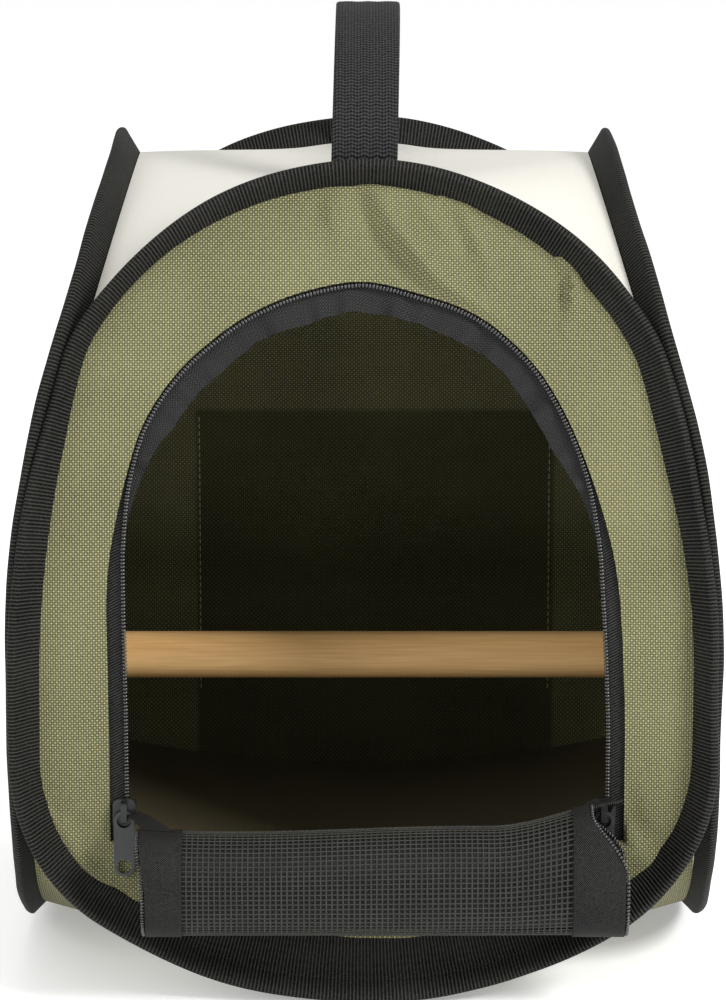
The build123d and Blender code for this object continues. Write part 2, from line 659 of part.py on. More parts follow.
with BuildPart() as door_mesh:
    with BuildSketch(SIDE.offset(MESH_LEFT + GAP)):
        with BuildLine():
            add(roll.line)
        trace(line_width=MESH_SHEET)
    extrude(amount=MESH_RIGHT - MESH_LEFT - 2 * GAP)
door_mesh.part.label = "door_mesh"
export_step(door_mesh.part, "parts/door_mesh.step")

with BuildPart() as door_left_band:
    with BuildSketch(SIDE.offset(-ROLL_HALF)):
        with BuildLine():
            add(roll.line)
        trace(line_width=BAND_SHEET)
    extrude(amount=MESH_LEFT + ROLL_HALF)
door_left_band.part.label = "door_left_band"
export_step(door_left_band.part, "parts/door_left_band.step")

with BuildPart() as door_right_band:
    with BuildSketch(SIDE.offset(MESH_RIGHT)):
        with BuildLine():
            add(roll.line)
        trace(line_width=BAND_SHEET)
    extrude(amount=ROLL_HALF - MESH_RIGHT)
    with BuildSketch(SIDE.offset(ROLL_HALF)):
        with BuildLine():
            add(tongue.line)
        trace(line_width=BAND_SHEET)
    extrude(amount=TONGUE_RIGHT - ROLL_HALF)
door_right_band.part.label = "door_right_band"
export_step(door_right_band.part, "parts/door_right_band.step")

with BuildPart() as door_left_zip_half:
    with BuildSketch(SIDE.offset(-ROLL_HALF - GAP)):
        with BuildLine():
            add(roll.line)
        trace(line_width=COIL_HEIGHT)
    extrude(amount=-DOOR_COIL_WIDTH)
door_left_zip_half.part.label = "door_left_zip_half"
export_step(door_left_zip_half.part, "parts/door_left_zip_half.step")

with BuildPart() as door_right_zip_half:
    with BuildSketch(SIDE.offset(ROLL_HALF + GAP)):
        with BuildLine():
            add(roll.line)
        trace(line_width=COIL_HEIGHT)
    extrude(amount=DOOR_COIL_WIDTH)
    with BuildSketch(SIDE.offset(ROLL_HALF)):
        with BuildLine():
            add(tongue.line)
        trace(line_width=BAND_SHEET + 2 * GAP)
    extrude(amount=TONGUE_RIGHT - ROLL_HALF + GAP, mode=Mode.SUBTRACT)
    with BuildSketch(SIDE.offset(TONGUE_RIGHT + GAP)):
        with BuildLine():
            add(tongue.line)
        trace(line_width=COIL_HEIGHT)
    extrude(amount=DOOR_COIL_WIDTH)
door_right_zip_half.part.label = "door_right_zip_half"
export_step(door_right_zip_half.part, "parts/door_right_zip_half.step")

# ---------------------------------------------------------------- the rear pocket
with BuildPart() as rear_pocket:
    with BuildSketch(PLAN.offset(POCKET_LOW_Z)):
        Rectangle(2 * POCKET_HALF, WALL_HALF + POCKET_DEPTH, align=(Align.CENTER, Align.MIN))
    extrude(amount=POCKET_TOP_Z - POCKET_LOW_Z)
    with BuildSketch(PLAN.offset(POCKET_LOW_Z + POCKET_SHEET)):
        Rectangle(
            2 * (POCKET_HALF - POCKET_SHEET),
            WALL_HALF + POCKET_DEPTH - POCKET_SHEET,
            align=(Align.CENTER, Align.MIN),
        )
    extrude(amount=POCKET_TOP_Z, mode=Mode.SUBTRACT)
    add(outside_walls, mode=Mode.SUBTRACT)
rear_pocket.part.label = "rear_pocket"
export_step(rear_pocket.part, "parts/rear_pocket.step")

with BuildPart() as rear_pocket_hem:
    with BuildSketch(FRONT.offset(-WALL_HALF - POCKET_DEPTH - GAP)):
        with Locations((0, POCKET_TOP_Z)):
            Rectangle(2 * POCKET_HALF, POCKET_HEM, align=(Align.CENTER, Align.MAX))
    extrude(amount=-POCKET_HEM_SHEET)
rear_pocket_hem.part.label = "rear_pocket_hem"
export_step(rear_pocket_hem.part, "parts/rear_pocket_hem.step")

# ---------------------------------------------------------------- the perch and what holds it
with BuildPart() as perch:
    with BuildSketch(SIDE):
        with Locations((0, PERCH_Z)):
            Circle(PERCH_RADIUS)
    extrude(amount=WALL_HALF - CLOTH - GAP, both=True)
    chamfer(perch.edges().filter_by(GeomType.CIRCLE), 1.0)
    with BuildSketch(SIDE):
        with Locations((0, PERCH_Z)):
            Circle(SCREW_RADIUS + GAP)
    extrude(amount=FAR, both=True, mode=Mode.SUBTRACT)
    with BuildSketch(SIDE):
        with Locations((0, PERCH_Z)):
            Circle(SCREW_RADIUS + 2 * GAP)
    extrude(amount=WALL_HALF - SCREW_LENGTH, both=True)
perch.part.label = "perch"
export_step(perch.part, "parts/perch.step")

with BuildPart() as perch_washers:
    for plane in (SIDE.offset(WALL_HALF + GAP), SIDE.offset(-WALL_HALF - GAP - WASHER_SHEET)):
        with BuildSketch(plane):
            with Locations((0, PERCH_Z)):
                Circle(WASHER_RADIUS)
                Circle(SCREW_RADIUS + GAP, mode=Mode.SUBTRACT)
        extrude(amount=WASHER_SHEET)
perch_washers.part.label = "perch_washers"
export_step(perch_washers.part, "parts/perch_washers.step")

washer_face = WALL_HALF + 2 * GAP + WASHER_SHEET
with BuildPart() as perch_screws:
    for hand in (1, -1):
        with BuildSketch(SIDE.offset(hand * washer_face)):
            with Locations((0, PERCH_Z)):
                Circle(SCREW_HEAD_RADIUS)
        extrude(amount=hand * SCREW_HEAD)
        with BuildSketch(SIDE.offset(hand * washer_face)):
            with Locations((0, PERCH_Z)):
                Circle(SCREW_RADIUS)
        extrude(amount=-hand * SCREW_LENGTH)
perch_screws.part.label = "perch_screws"
export_step(perch_screws.part, "parts/perch_screws.step")

# ---------------------------------------------------------------- the webbing handle
handle_rise = HANDLE_TOP_Z - HANDLE_SHEET / 2 - HANDLE_FOOT[1]
with BuildPart() as handle_strap:
    with BuildSketch(SIDE.offset(-HANDLE_WIDTH / 2)):
        with BuildLine():
            ThreePointArc(
                (-HANDLE_FOOT[0], HANDLE_FOOT[1]),
                (0, HANDLE_FOOT[1] + handle_rise),
                HANDLE_FOOT,
            )
        trace(line_width=HANDLE_SHEET)
    extrude(amount=HANDLE_WIDTH)
handle_strap.part.label = "handle_strap"
export_step(handle_strap.part, "parts/handle_strap.step")

with BuildPart() as handle_ends:
    for hand in (1, -1):
        with BuildSketch(FRONT.offset(hand * (TOP_HALF - GAP / 2))):
            with Locations((0, HOOP_TOP_Z + 2 * GAP)):
                Rectangle(
                    HANDLE_WIDTH,
                    HANDLE_END_TOP_Z - HOOP_TOP_Z - 2 * GAP,
                    align=(Align.CENTER, Align.MIN),
                )
        extrude(amount=-hand * HANDLE_END_SHEET)
handle_ends.part.label = "handle_ends"
export_step(handle_ends.part, "parts/handle_ends.step")

# ---------------------------------------------------------------- the loose floor board
with BuildPart() as floor_board:
    with BuildSketch(FRONT.offset(-BOARD_HALF)):
        with BuildLine():
            low = ThreePointArc(
                (-BOARD_HALF, BOARD_EDGE_Z), (0, BOARD_EDGE_Z - BOARD_BOW), (BOARD_HALF, BOARD_EDGE_Z)
            )
            top_z = BOARD_EDGE_Z + BOARD_THICK
            high = ThreePointArc((-BOARD_HALF, top_z), (0, top_z - BOARD_BOW), (BOARD_HALF, top_z))
            Line(low @ 0, high @ 0)
            Line(low @ 1, high @ 1)
        make_face()
    extrude(amount=2 * BOARD_HALF)
    with BuildSketch(PLAN):
        RectangleRounded(2 * BOARD_HALF + GAP, 2 * BOARD_HALF + GAP, BOARD_CORNER)
    extrude(amount=FAR, mode=Mode.INTERSECT)
floor_board.part.label = "floor_board"
export_step(floor_board.part, "parts/floor_board.step")

with BuildPart() as floor_board_cover:
    with BuildSketch(FRONT.offset(-BOARD_HALF)):
        with BuildLine():
            low_z = BOARD_EDGE_Z + BOARD_THICK + GAP
            low = ThreePointArc((-BOARD_HALF, low_z), (0, low_z - BOARD_BOW), (BOARD_HALF, low_z))
            top_z = low_z + BOARD_COVER
            high = ThreePointArc((-BOARD_HALF, top_z), (0, top_z - BOARD_BOW), (BOARD_HALF, top_z))
            Line(low @ 0, high @ 0)
            Line(low @ 1, high @ 1)
        make_face()
    extrude(amount=2 * BOARD_HALF)
    with BuildSketch(PLAN):
        RectangleRounded(2 * BOARD_HALF + GAP, 2 * BOARD_HALF + GAP, BOARD_CORNER)
    extrude(amount=FAR, mode=Mode.INTERSECT)
floor_board_cover.part.label = "floor_board_cover"
export_step(floor_board_cover.part, "parts/floor_board_cover.step")
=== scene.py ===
"""Looks for a soft pop-up carrier for a small bird.

It has cloth walls, bound hoops, a zip, a rolled mesh door and a perch.

Shapes are worked out in millimetres about the middle of the four hoops, and `in_frame` turns them
into the frame's metres. The front wall is at -y, and the other three walls are turned copies of it.
"""

import math

import bmesh
import bpy
import numpy as np
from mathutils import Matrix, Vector


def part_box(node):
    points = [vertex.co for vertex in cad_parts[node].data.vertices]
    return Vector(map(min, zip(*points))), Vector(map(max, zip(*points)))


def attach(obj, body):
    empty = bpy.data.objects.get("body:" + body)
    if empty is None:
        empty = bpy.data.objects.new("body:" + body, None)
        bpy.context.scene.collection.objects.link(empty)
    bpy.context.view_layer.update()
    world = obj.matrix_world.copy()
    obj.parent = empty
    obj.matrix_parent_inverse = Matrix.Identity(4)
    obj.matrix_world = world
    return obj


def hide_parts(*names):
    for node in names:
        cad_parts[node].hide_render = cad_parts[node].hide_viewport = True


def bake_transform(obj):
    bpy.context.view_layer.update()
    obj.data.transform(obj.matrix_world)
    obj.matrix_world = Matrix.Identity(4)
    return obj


bl_info = {
    "name": "Bird travel carrier",
    "version": (1, 0, 0),
    "blender": (4, 5, 0),
    "location": "View3D > Sidebar > Carrier",
    "description": "Cloth, zip, mesh door and trimmings over the carrier's CAD parts",
    "category": "Object",
}

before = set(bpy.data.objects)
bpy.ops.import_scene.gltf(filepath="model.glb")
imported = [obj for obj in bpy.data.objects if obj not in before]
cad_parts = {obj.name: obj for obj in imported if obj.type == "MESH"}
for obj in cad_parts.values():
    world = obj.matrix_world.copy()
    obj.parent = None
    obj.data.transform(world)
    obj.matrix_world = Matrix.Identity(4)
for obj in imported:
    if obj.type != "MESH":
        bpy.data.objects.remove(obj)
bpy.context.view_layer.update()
PERCH_LOW, PERCH_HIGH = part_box("perch")
HOOPS_Y = 500 * (PERCH_LOW.y + PERCH_HIGH.y)

# ---------------------------------------------------------------- the carrier's lines, as in the CAD
HOOP_TOP_Z, HOOP_LOW_Z, TOP_HALF, WALL_HALF, BEND_RADIUS = 311.5, 8.6, 90.0, 128.0, 400.0
LEAN = math.radians(16.7)
CROWN_RADIUS, SHOULDER_RADIUS, HEEL_RADIUS, FOOT_RADIUS = 123.0, 57.0, 70.0, 183.0
BEND_REACH = BEND_RADIUS * math.tan(LEAN / 2)
BEND_MIDDLE_Z = HOOP_TOP_Z - (WALL_HALF - TOP_HALF) / math.tan(LEAN)
BEND_LOW_Z = BEND_MIDDLE_Z - BEND_REACH
BEND_TOP_Z = BEND_MIDDLE_Z + BEND_REACH * math.cos(LEAN)
UP_SLOPE = np.array([0, math.sin(LEAN), math.cos(LEAN)])
OUT_OF_SLOPE = np.array([0, -math.cos(LEAN), math.sin(LEAN)])
FOOT_Z = HOOP_LOW_Z + FOOT_RADIUS
HEEL_X = WALL_HALF - HEEL_RADIUS
HEEL_Z = FOOT_Z - math.sqrt((FOOT_RADIUS - HEEL_RADIUS) ** 2 - HEEL_X**2)
HEEL_TURN = math.asin(HEEL_X / (FOOT_RADIUS - HEEL_RADIUS))
CLOTH, GAP = 1.6, 0.1
PERCH_Z = 106.0

DOOR_HALF, DOOR_LOW_Z, DOOR_TOP_Z, ARCH_RADIUS, JAMB_RADIUS = 92.1, 61.0, 276.0, 80.0, 118.0
ZIP_MARGIN, ZIP_TAPE_WIDTH, ZIP_TAPE = 6.5, 13.0, 0.6

ROLL_RUN, ROLL_TOP_RADIUS, ROLL_STEP, ROLL_BOTTOM_Z = 11.5, 17.5, 1.5, 29.6
ROLL_CENTRE = (-147.4, 58.0)
MESH_LEFT, MESH_RIGHT, BAND_SHEET = -70.0, 80.0, 1.8
POCKET_HALF, POCKET_LOW_Z, POCKET_TOP_Z, POCKET_OUT = 76.0, 57.0, 183.0, 133.4

WALLS = (("front", 0), ("right", 1), ("rear", 2), ("left", 3))


def length_value(label, note, default):
    """A size in metres that a user may change."""
    return bpy.props.FloatProperty(
        name=label, description=note, default=default, unit="LENGTH", subtype="DISTANCE", precision=5
    )


def colour_value(label, note, default):
    """A colour that a user may change."""
    return bpy.props.FloatVectorProperty(
        name=label, description=note, default=default, subtype="COLOR", size=3, min=0.0, max=1.0
    )


class CarrierSizes(bpy.types.PropertyGroup):
    """Sizes of what Blender adds to the frame."""

    weave_pitch: length_value("Weave pitch", "One yarn of the olive wall cloth", 0.00095)
    rib_pitch: length_value("Rib pitch", "One rib of the seam tape", 0.00138)
    crease_depth: length_value("Crease depth", "Depth of the folds in the front wall", 0.0062)
    crown_sag: length_value("Crown sag", "How far the cream top hangs below a level vault", 0.0012)
    rear_drop: length_value("Rear drop", "How far the rear hoop's crown has settled", 0.0055)
    coil_pitch: length_value("Zip pitch", "From one turn of the zip coil to the next", 0.00135)
    mesh_pitch: length_value("Mesh pitch", "From one thread of the door mesh to the next", 0.00212)
    mesh_thread: length_value("Mesh thread", "Radius of one thread of the door mesh", 0.0003)
    stitch_pitch: length_value("Stitch pitch", "From one stitch to the next", 0.0032)
    roll_rise: bpy.props.FloatProperty(
        name="Roll rise",
        description="How much thicker the rolled door is at its right end",
        default=0.26,
        min=0,
        max=0.5,
    )


class CarrierColours(bpy.types.PropertyGroup):
    """Colours of the carrier's cloths and trimmings."""

    # the olive yarn colour is the yarns' lit tops and the gap colour is the shade between them: painted
    # light and painted shade
    olive_light: colour_value("Olive yarn", "Lit yarns of the wall cloth", (0.330, 0.320, 0.160))
    olive_dark: colour_value("Olive gaps", "Between the yarns of the wall cloth", (0.020, 0.020, 0.007))
    cream: colour_value("Cream", "Top cloth", (0.60, 0.585, 0.53))
    tape: colour_value("Seam tape", "Black ribbed tape over the hoops", (0.0118, 0.0116, 0.0102))
    zip_tape: colour_value("Zip tape", "Dark tape that carries the zip", (0.0108, 0.0108, 0.0102))
    zip_coil: colour_value("Zip coil", "Black nylon coil", (0.010, 0.010, 0.010))
    webbing: colour_value("Webbing", "Carry handle", (0.0112, 0.0112, 0.0112))
    mesh: colour_value("Door mesh", "Threads of the mesh door", (0.034, 0.034, 0.030))
    band: colour_value("Door bands", "Twill bands on the door's edges", (0.0100, 0.0098, 0.0094))
    wood: colour_value("Perch", "Pale plain wood", (0.90, 0.58, 0.26))
    board: colour_value("Board cover", "Dark cloth on the floor board", (0.080, 0.064, 0.032))
    metal: colour_value("Zip metal", "Gunmetal of the sliders and pulls", (0.030, 0.032, 0.031))


# ---------------------------------------------------------------- small mathematics


def eased(t):
    """From 0 to 1 with level ends."""
    t = np.clip(t, 0, 1)
    return t * t * (3 - 2 * t)


def turned(points, quarter):
    """Points or directions turned about the vertical by quarter turns."""
    p = np.asarray(points, float)
    for _ in range(quarter):
        p = np.stack([-p[..., 1], p[..., 0], p[..., 2]], -1)
    return p


def in_frame(points):
    """Millimetres about the hoops' middle to the frame's metres."""
    p = np.array(points, float)
    p[..., 1] += HOOPS_Y
    return p / 1000


def run_lengths(points):
    """Distance along a line of points, from its first."""
    steps = np.linalg.norm(np.diff(points, axis=0), axis=1)
    return np.concatenate([[0], np.cumsum(steps)])


def ways(line):
    """The direction of a line at each of its points."""
    along = np.gradient(line, axis=0)
    return along / np.linalg.norm(along, axis=1)[:, None]


def settled(points):
    """The rear hoop's crown has sunk a little, and all that is sewn to it with it."""
    p = np.array(points, float)
    drop = bpy.context.scene.carrier_sizes.rear_drop * 1000
    p[..., 2] -= drop * eased((p[..., 1] - 5) / 80) * eased((p[..., 2] - 235) / 65)
    return p


def wall_lean(z):
    """How far the wall leans in at a height."""
    bend = np.arcsin(np.clip((z - BEND_LOW_Z) / BEND_RADIUS, 0, 1))
    return np.minimum(bend, LEAN)


def wall_normal(z):
    """The front wall's outward direction at a height."""
    lean = wall_lean(z)
    return np.stack([0 * lean, -np.cos(lean), np.sin(lean)], -1)


def wall_half(z):
    """From the middle to the wall at a height."""
    z = np.asarray(z, float)
    above = np.maximum(z - BEND_LOW_Z, 0)
    bent = WALL_HALF - BEND_RADIUS + np.sqrt(np.maximum(BEND_RADIUS**2 - above**2, 0))
    leaning = TOP_HALF + math.tan(LEAN) * (HOOP_TOP_Z - z)
    return np.where(z < BEND_TOP_Z, bent, leaning)


def on_wall(x, z, out=0.0):
    """Points of the front wall, at a distance outside it."""
    lean = wall_lean(z)
    return np.stack([x + 0 * z, -wall_half(z) - out * np.cos(lean), z + out * np.sin(lean)], -1)


def up_the_wall(z):
    """Distance up the wall cloth at a height, for its weave."""
    lean = wall_lean(z)
    above = np.maximum(z - BEND_TOP_Z, 0) / math.cos(LEAN)
    return np.minimum(z, BEND_LOW_Z) + BEND_RADIUS * lean + above


def shoulder_centre():
    """The middle of the shoulder's arc: its x, and its height up the slope from the crown."""
    reach = CROWN_RADIUS - SHOULDER_RADIUS
    line = TOP_HALF + math.sin(LEAN) * CROWN_RADIUS - SHOULDER_RADIUS * math.hypot(1, math.sin(LEAN))
    a = 1 + math.sin(LEAN) ** 2
    b = math.sin(LEAN) * line
    rise = (b + math.sqrt(b**2 - a * (line**2 - reach**2))) / a
    return line - math.sin(LEAN) * rise, rise - CROWN_RADIUS


def seam_line(step=2.5):
    """The front hoop's seam, all round from its foot, with a step's length between its points.

    Gives its points, the flange's direction, the hoop's front, and how many points its right half has.
    """
    out = np.array([1, -1, 0]) / math.sqrt(2)
    up = np.array([0, 0, 1.0])
    side = np.array([1.0, 0, 0])
    corner_lean = math.atan(math.sqrt(2) * math.tan(LEAN))
    corner_up = up * math.cos(corner_lean) - out * math.sin(corner_lean)
    corner_out = out * math.cos(corner_lean) + up * math.sin(corner_lean)
    flange_out = float(corner_out @ OUT_OF_SLOPE)
    flange_side = math.sqrt(1 - flange_out**2)
    corner_radius = BEND_REACH / math.tan(corner_lean / 2)
    bend_top_z = BEND_MIDDLE_Z + BEND_REACH * math.cos(corner_lean)
    shoulder = shoulder_centre()
    shoulder_turn = math.atan(math.sin(LEAN))
    crown_turn = math.atan2(shoulder[1] + CROWN_RADIUS, shoulder[0])

    def upright(middle, radius, turn):
        aside = np.array([math.sin(turn), 0, -math.cos(turn)])
        along = np.array([math.cos(turn), 0, math.sin(turn)])
        return np.array([middle[0], -WALL_HALF, middle[1]]) + aside * radius, aside - [0, 1, 0], along

    def leaning(middle, radius, turn):
        aside = side * math.cos(turn) + UP_SLOPE * math.sin(turn)
        along = -side * math.sin(turn) + UP_SLOPE * math.cos(turn)
        start = np.array([middle[0], -TOP_HALF, HOOP_TOP_Z]) + UP_SLOPE * middle[1]
        return start + aside * radius, aside * flange_side + OUT_OF_SLOPE * flange_out, along

    def corner(turn):
        start = np.array([WALL_HALF, -WALL_HALF, BEND_LOW_Z])
        here = out * math.cos(turn) + up * math.sin(turn)
        along = up * math.cos(turn) - out * math.sin(turn)
        return start - out * corner_radius + here * corner_radius, here, along

    def swing(at, middle, radius, start, end):
        return radius * (end - start), lambda t: at(middle, radius, start + t * (end - start))

    half = TOP_HALF + math.tan(LEAN) * (HOOP_TOP_Z - bend_top_z)
    corner_low = np.array([half, -half, bend_top_z])
    corner_high = leaning(shoulder, SHOULDER_RADIUS, shoulder_turn)[0]
    upright_low = np.array([WALL_HALF, -WALL_HALF, HEEL_Z])
    slope = corner_high - corner_low
    runs = (
        swing(upright, (0, FOOT_Z), FOOT_RADIUS, 0, HEEL_TURN),
        swing(upright, (HEEL_X, HEEL_Z), HEEL_RADIUS, HEEL_TURN, math.pi / 2),
        (BEND_LOW_Z - HEEL_Z, lambda t: (upright_low + up * t * (BEND_LOW_Z - HEEL_Z), out, up)),
        (corner_radius * corner_lean, lambda t: corner(t * corner_lean)),
        (float(np.linalg.norm(slope)), lambda t: (corner_low + slope * t, corner_out, corner_up)),
        swing(leaning, shoulder, SHOULDER_RADIUS, shoulder_turn, crown_turn),
        swing(leaning, (0, -CROWN_RADIUS), CROWN_RADIUS, crown_turn, math.pi / 2),
    )
    rows = []
    for run, (length, at) in enumerate(runs):
        count = max(2, round(length / step))
        last = run == len(runs) - 1
        rows += [at(k / count) for k in range(count + last)]
    points, outs, alongs = (np.array(column) for column in zip(*rows))
    outs /= np.linalg.norm(outs, axis=1)[:, None]
    fronts = np.cross(-alongs, outs)
    flip = np.array([-1, 1, 1])
    whole = [np.concatenate([v, (v * flip)[-2:0:-1]]) for v in (points, outs, fronts)]
    return (*whole, len(points))


# ---------------------------------------------------------------- meshes


def grid_faces(rows, cols, wrap_rows=False, wrap_cols=False):
    """Faces of a grid of points, and each corner's row and column, counted on past a wrap."""
    r, c = np.meshgrid(np.arange(rows - (not wrap_rows)), np.arange(cols - (not wrap_cols)), indexing="ij")
    row = np.stack([r, r, r + 1, r + 1], -1).reshape(-1, 4)
    col = np.stack([c, c + 1, c + 1, c], -1).reshape(-1, 4)
    return (row % rows) * cols + col % cols, row, col


def placed(name, data):
    """A new object in the scene, at its origin."""
    made = bpy.data.objects.new(name, data)
    bpy.context.scene.collection.objects.link(made)
    return made


def turned_out(mesh, merge=False):
    """Turns a mesh's faces outwards, after its doubles are merged where it has any."""
    work = bmesh.new()
    work.from_mesh(mesh)
    if merge:
        bmesh.ops.remove_doubles(work, verts=work.verts, dist=2e-7)
        bmesh.ops.dissolve_degenerate(work, edges=work.edges, dist=1e-7)
    bmesh.ops.recalc_face_normals(work, faces=work.faces)
    work.to_mesh(mesh)
    work.free()


def smoothed(mesh, sharp):
    """Smooth shading, apart from edges sharper than an angle in degrees."""
    mesh.shade_smooth()
    mesh.set_sharp_from_angle(angle=math.radians(sharp))


def made_mesh(name, points, faces, uv, finish, sharp=40):
    """A mesh object in the frame from points in millimetres, with its faces turned outwards."""
    mesh = bpy.data.meshes.new(name)
    mesh.from_pydata(in_frame(points).tolist(), [], [tuple(int(v) for v in face) for face in faces])
    layer = mesh.uv_layers.new(name="UVMap")
    layer.data.foreach_set("uv", (np.asarray(uv, float) / 1000).astype(np.float32).ravel())
    turned_out(mesh, merge=True)
    smoothed(mesh, sharp)
    mesh.materials.append(finish)
    return placed(name, mesh)


def swept(name, middle, across, over, section, closed, finish, sharp=40, shape=None):
    """A closed section carried along a line, with its x along `across` and its y along `over`."""
    section = np.asarray(section, float)
    side, rise = section[None, :, 0:1], section[None, :, 1:2]
    points = middle[:, None] + across[:, None] * side + over[:, None] * rise
    if shape is not None:
        points = shape(points)
    rows, cols = points.shape[:2]
    faces, row, col = grid_faces(rows, cols, closed, True)
    run = run_lengths(np.concatenate([middle, middle[:1]]))
    girth = run_lengths(np.concatenate([section, section[:1]]))
    uv = np.stack([run[row], girth[col]], -1)
    faces, uv = faces.tolist(), uv.reshape(-1, 2).tolist()
    if not closed:
        for end in (0, rows - 1):
            faces.append([end * cols + c for c in range(cols)])
            uv += [[run[end], girth[c]] for c in range(cols)]
    return made_mesh(name, points.reshape(-1, 3), [tuple(f) for f in faces], uv, finish, sharp)


def sheet_solid(name, outer, inner, uv, wrap, finish, sharp=50):
    """A sheet with a thickness, from the grids of its two sides. `wrap` closes its columns."""
    rows, cols = outer.shape[:2]
    count = rows * cols
    faces, row, col = grid_faces(rows, cols, False, wrap)
    uv_grid = np.asarray(uv, float)
    if wrap and uv_grid.shape[1] == cols:
        uv_grid = np.concatenate([uv_grid, uv_grid[:, :1]], 1)
    corner_uv = uv_grid[row, col]
    every = [faces, faces[:, ::-1] + count]
    every_uv = [corner_uv, corner_uv[:, ::-1]]
    edges = [np.stack([np.full(cols, r), np.arange(cols)], -1) for r in (0, rows - 1)]
    if not wrap:
        edges += [np.stack([np.arange(rows), np.full(rows, c)], -1) for c in (0, cols - 1)]
    for edge in edges:
        closed = wrap and edge[0, 0] == edge[-1, 0]
        start = edge
        end = np.roll(edge, -1, 0)
        if not closed:
            start, end = start[:-1], end[:-1]
        a = start[:, 0] * cols + start[:, 1]
        b = end[:, 0] * cols + end[:, 1]
        every.append(np.stack([a, b, b + count, a + count], -1))
        ua, ub = uv_grid[start[:, 0], start[:, 1]], uv_grid[end[:, 0], end[:, 1]]
        every_uv.append(np.stack([ua, ub, ub, ua], 1))
    points = np.concatenate([outer.reshape(-1, 3), inner.reshape(-1, 3)])
    every_uv = np.concatenate(every_uv).reshape(-1, 2)
    return made_mesh(name, points, np.concatenate(every), every_uv, finish, sharp)


def grid_normals(grid, towards):
    """Normals of a grid of points, on the side of a direction."""
    n = np.cross(np.gradient(grid, axis=0), np.gradient(grid, axis=1))
    n /= np.maximum(np.linalg.norm(n, axis=-1, keepdims=True), 1e-9)
    return n * np.sign((n * towards).sum(-1, keepdims=True) + 1e-9)


def surface_area(grid, wrap=False):
    """Area of a grid of points in square metres."""
    if wrap:
        grid = np.concatenate([grid, grid[:, :1]], 1)
    a, b, c, d = grid[:-1, :-1], grid[:-1, 1:], grid[1:, 1:], grid[1:, :-1]
    area = sum(np.linalg.norm(np.cross(p - a, q - a), axis=-1) for p, q in ((b, c), (c, d)))
    return float(area.sum() / 2e6)


# ---------------------------------------------------------------- shader building


def add_node(tree, kind, inputs=None, **settings):
    """A node with its settings, and its inputs by name or number, each a value or a socket."""
    node = tree.nodes.new(kind)
    for key, value in settings.items():
        setattr(node, key, value)
    for key, value in (inputs or {}).items():
        if isinstance(value, bpy.types.NodeSocket):
            tree.links.new(value, node.inputs[key])
        else:
            node.inputs[key].default_value = value
    return node


def maths(operation, *values):
    """A maths node over numbers and sockets, in its first socket's tree."""
    tree = next(value.id_data for value in values if isinstance(value, bpy.types.NodeSocket))
    return add_node(tree, "ShaderNodeMath", dict(enumerate(values)), operation=operation).outputs[0]


def times(a, b):
    return maths("MULTIPLY", a, b)


def plus(a, b):
    return maths("ADD", a, b)


def scaled(value, share, offset):
    return maths("MULTIPLY_ADD", value, share, offset)


def waves(along, pitch):
    """A sine with one wave to each pitch."""
    return maths("SINE", times(along, 2 * math.pi / pitch))


def mixed(factor, low, high):
    """A colour between two, each a colour or a socket."""
    low, high = (end if isinstance(end, bpy.types.NodeSocket) else (*end, 1.0) for end in (low, high))
    node = add_node(factor.id_data, "ShaderNodeMix", {0: factor, 6: low, 7: high}, data_type="RGBA")
    return node.outputs[2]


def shaded(colour, share):
    return tuple(min(1.0, part * share) for part in colour)


def new_finish(name, roughness, metallic=0.0, specular=0.5, sheen=0.0):
    """A material, its tree and its main shader."""
    finish = bpy.data.materials.new(name)
    finish.use_nodes = True
    tree = finish.node_tree
    shader = tree.nodes["Principled BSDF"]
    shader.inputs["Roughness"].default_value = roughness
    shader.inputs["Metallic"].default_value = metallic
    shader.inputs["Specular IOR Level"].default_value = specular
    shader.inputs["Sheen Weight"].default_value = sheen
    return finish, tree, shader


def surface_uv(tree):
    """Along and across the cloth, in metres."""
    place = add_node(tree, "ShaderNodeTexCoord")
    parts = add_node(tree, "ShaderNodeSeparateXYZ", {0: place.outputs["UV"]})
    return parts.outputs[0], parts.outputs[1], place


def cloudy(place, scale, detail=2.0):
    """Noise over the object, about 0.5."""
    inputs = {"Vector": place.outputs["Object"], "Scale": scale, "Detail": detail, "Roughness": 0.5}
    return add_node(place.id_data, "ShaderNodeTexNoise", inputs).outputs[0]


def grained(place, stretch, shift=(0, 0, 0)):
    """Object coordinates drawn out along the wood."""
    inputs = {"Vector": place.outputs["Object"], "Scale": stretch, "Location": shift}
    return add_node(place.id_data, "ShaderNodeMapping", inputs).outputs[0]


def finish_up(shader, colour, height, depth):
    """Gives the shader its colour and its relief, which is `depth` metres deep."""
    tree = shader.id_data
    tree.links.new(colour, shader.inputs["Base Color"])
    bump = add_node(tree, "ShaderNodeBump", {"Strength": 1.0, "Distance": depth, "Height": height})
    tree.links.new(bump.outputs[0], shader.inputs["Normal"])


def painted_pocket_shade(place):
    """Where the pocket behind it casts painted shade on the rear cloth's inner side: 1 over the pocket,
    else 0.
    """
    tree = place.id_data
    parts = add_node(tree, "ShaderNodeSeparateXYZ", {0: place.outputs["Object"]})
    aside = maths("ABSOLUTE", maths("SUBTRACT", parts.outputs[0], 0.0048))
    inside = add_node(tree, "ShaderNodeMapRange", {0: aside, 1: 0.0762, 2: 0.0782, 3: 1.0, 4: 0.0})
    below = add_node(tree, "ShaderNodeMapRange", {0: parts.outputs[2], 1: 0.1855, 2: 0.188, 3: 1.0, 4: 0.0})
    normal = add_node(tree, "ShaderNodeNewGeometry").outputs["True Normal"]
    facing = add_node(tree, "ShaderNodeSeparateXYZ", {0: normal})
    there = times(inside.outputs[0], below.outputs[0])
    return times(there, maths("LESS_THAN", facing.outputs[1], 0.0))


